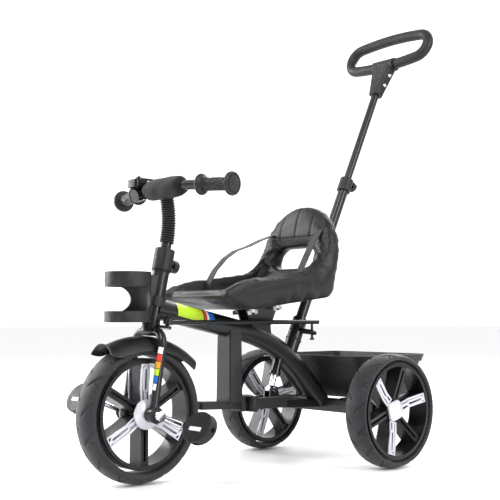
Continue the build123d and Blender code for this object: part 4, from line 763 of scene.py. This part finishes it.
def decal(name, node, start, across, along, toward, material, lift=0.0003, steps=(10, 14)):
    """A thin sticker: a grid of points dropped on a node's surface along one direction."""
    tree = surface(node)
    toward = Vector(toward).normalized()
    bm = bmesh.new()
    rows = []
    for i in range(steps[0] + 1):
        row = []
        for j in range(steps[1] + 1):
            point = Vector(start) + Vector(across) * (i / steps[0]) + Vector(along) * (j / steps[1])
            hit, normal, _, _ = tree.ray_cast(point - toward * 0.06, toward)
            if hit is None:
                row.append(None)
                continue
            if normal.dot(toward) > 0:
                normal = -normal
            row.append(bm.verts.new(hit + normal * lift))
        rows.append(row)
    for low, high in zip(rows, rows[1:]):
        for j in range(steps[1]):
            quad = (low[j], low[j + 1], high[j + 1], high[j])
            if all(quad):
                bm.faces.new(quad)
    if not bm.faces:
        bm.free()
        return None
    sheet = finish_mesh(name, bm, material, sharp=60)
    return place(sheet, body=body_of_node[node], slot=slot_of_node[node])


def slab(name, centre, size, material, body, slot, turn=None, edge_width=0.0008):
    """A small block with rounded edges."""
    bm = bmesh.new()
    bmesh.ops.create_cube(bm, size=1)
    for vert in bm.verts:
        vert.co = Vector((vert.co.x * size[0], vert.co.y * size[1], vert.co.z * size[2]))
        if turn:
            vert.co.rotate(turn)
        vert.co += Vector(centre)
    piece = finish_mesh(name, bm, material)
    edge = piece.modifiers.new("edge", "BEVEL")
    edge.width = edge_width
    edge.segments = 2
    apply_modifiers(piece)
    return place(piece, body=body, slot=slot)


def screw(name, centre, axis, radius, height, body, material="chrome_steel"):
    """A domed screw with a round recess."""
    profile = [(-0.001, radius), (height * 0.45, radius), (height * 0.8, radius * 0.86),
               (height, radius * 0.55), (height, radius * 0.42), (height * 0.35, radius * 0.38),
               (height * 0.35, 0.0)]
    piece = lathe(name, Vector(centre), axis, profile, material, sides=24)
    return place(piece, body=body, slot=material)


# stickers in plain colours on the main tube and the near fork leg
tube_way = Vector((0, 0.060, -0.0125))
tube_start = CROWN + STEER * 0.042 + Vector((0, 0.040, -0.006))
bands = (("green", 0.0, 0.062), ("red", 0.064, 0.006), ("white", 0.071, 0.005), ("blue", 0.077, 0.013))
way = tube_way.normalized()
for colour, begin, length in bands:
    low_corner = tube_start + way * begin - Vector((0, 0, 0.013))
    decal("tube_sticker_" + colour, "main_tube", low_corner, way * length, Vector((0, 0, 0.026)),
          (-1, 0, -0.25), "decal_" + colour)
leg_tones = ("white", "red", "orange", "green", "blue", "white")
leg_top = CROWN + Vector((0.042, 0, 0)) - STEER * 0.030
for index, colour in enumerate(leg_tones):
    corner = leg_top - STEER * (0.013 * index) - STEER_BACK * 0.0045
    decal("leg_sticker_%d" % index, "front_fork", corner, STEER_BACK * 0.009, -STEER * 0.0115, (-1, 0.5, 0),
          "decal_" + colour, steps=(8, 8))

# pedal reflectors on the long edges
for side in ("left", "right"):
    node = side + "_pedal"
    low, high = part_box(node)
    centre = (low + high) / 2
    tree = surface(node)
    for way_y in (-1, 1):
        outside = centre + Vector((0, way_y * 0.12, 0))
        hit, normal, _, _ = tree.ray_cast(outside, Vector((0, -way_y, 0)))
        if hit is None:
            continue
        spin = Vector((0, way_y, 0)).rotation_difference(normal)
        slab(side + "_reflector_" + ("front" if way_y < 0 else "back"), hit + normal * 0.0006,
             (0.030, 0.0030, 0.0075), "reflector", body_of_node[node], slot_of_node[node], turn=spin)

# screws on the handle bracket
bracket_low, bracket_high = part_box("handle_bracket")
bracket_tree = surface("handle_bracket")
for index, share in enumerate((0.30, 0.55)):
    height = bracket_low.z + (bracket_high.z - bracket_low.z) * share
    along = (height - POLE_FOOT.z) / POLE.z
    at = POLE_FOOT + POLE * along
    hit, normal, _, _ = bracket_tree.ray_cast(at + Vector((0.08, 0, 0)), Vector((-1, 0, 0)))
    if hit is not None:
        screw("bracket_screw_%d" % index, hit, (1, 0, 0), 0.0042, 0.0028, body_of_node["handle_bracket"])


# weld beads where the tubes meet
def bead(name, centre, axis, radius, body, thickness=0.0021, ripple=30):
    """A ring of weld with small overlapping ripples."""
    axis = Vector(axis).normalized()
    across = axis.orthogonal().normalized()
    up = axis.cross(across)
    rings = []
    count = ripple * 6
    for i in range(count):
        turn = 2 * pi * i / count
        outward = across * cos(turn) + up * sin(turn)
        spot = Vector(centre) + outward * radius
        size = thickness * (0.82 + 0.18 * abs(sin(turn * ripple / 2)))
        rings.append(ring_points(spot, outward, axis, size, 10))
    piece = skin(name, rings, "frame_black", closed=True, sharp=60)
    return place(piece, body=body, slot="frame_black")


bead("pole_socket_weld", POLE_FOOT - POLE * 0.0005 + POLE * 0.002, POLE, 0.0150, "frame", ripple=26)
for side, sign in (("left", 1), ("right", -1)):
    bead(side + "_axle_weld", REAR_AXLES[side] - Vector((sign * 0.036, 0, 0)), (1, 0, 0), 0.0065,
         "frame", 0.0014, 18)
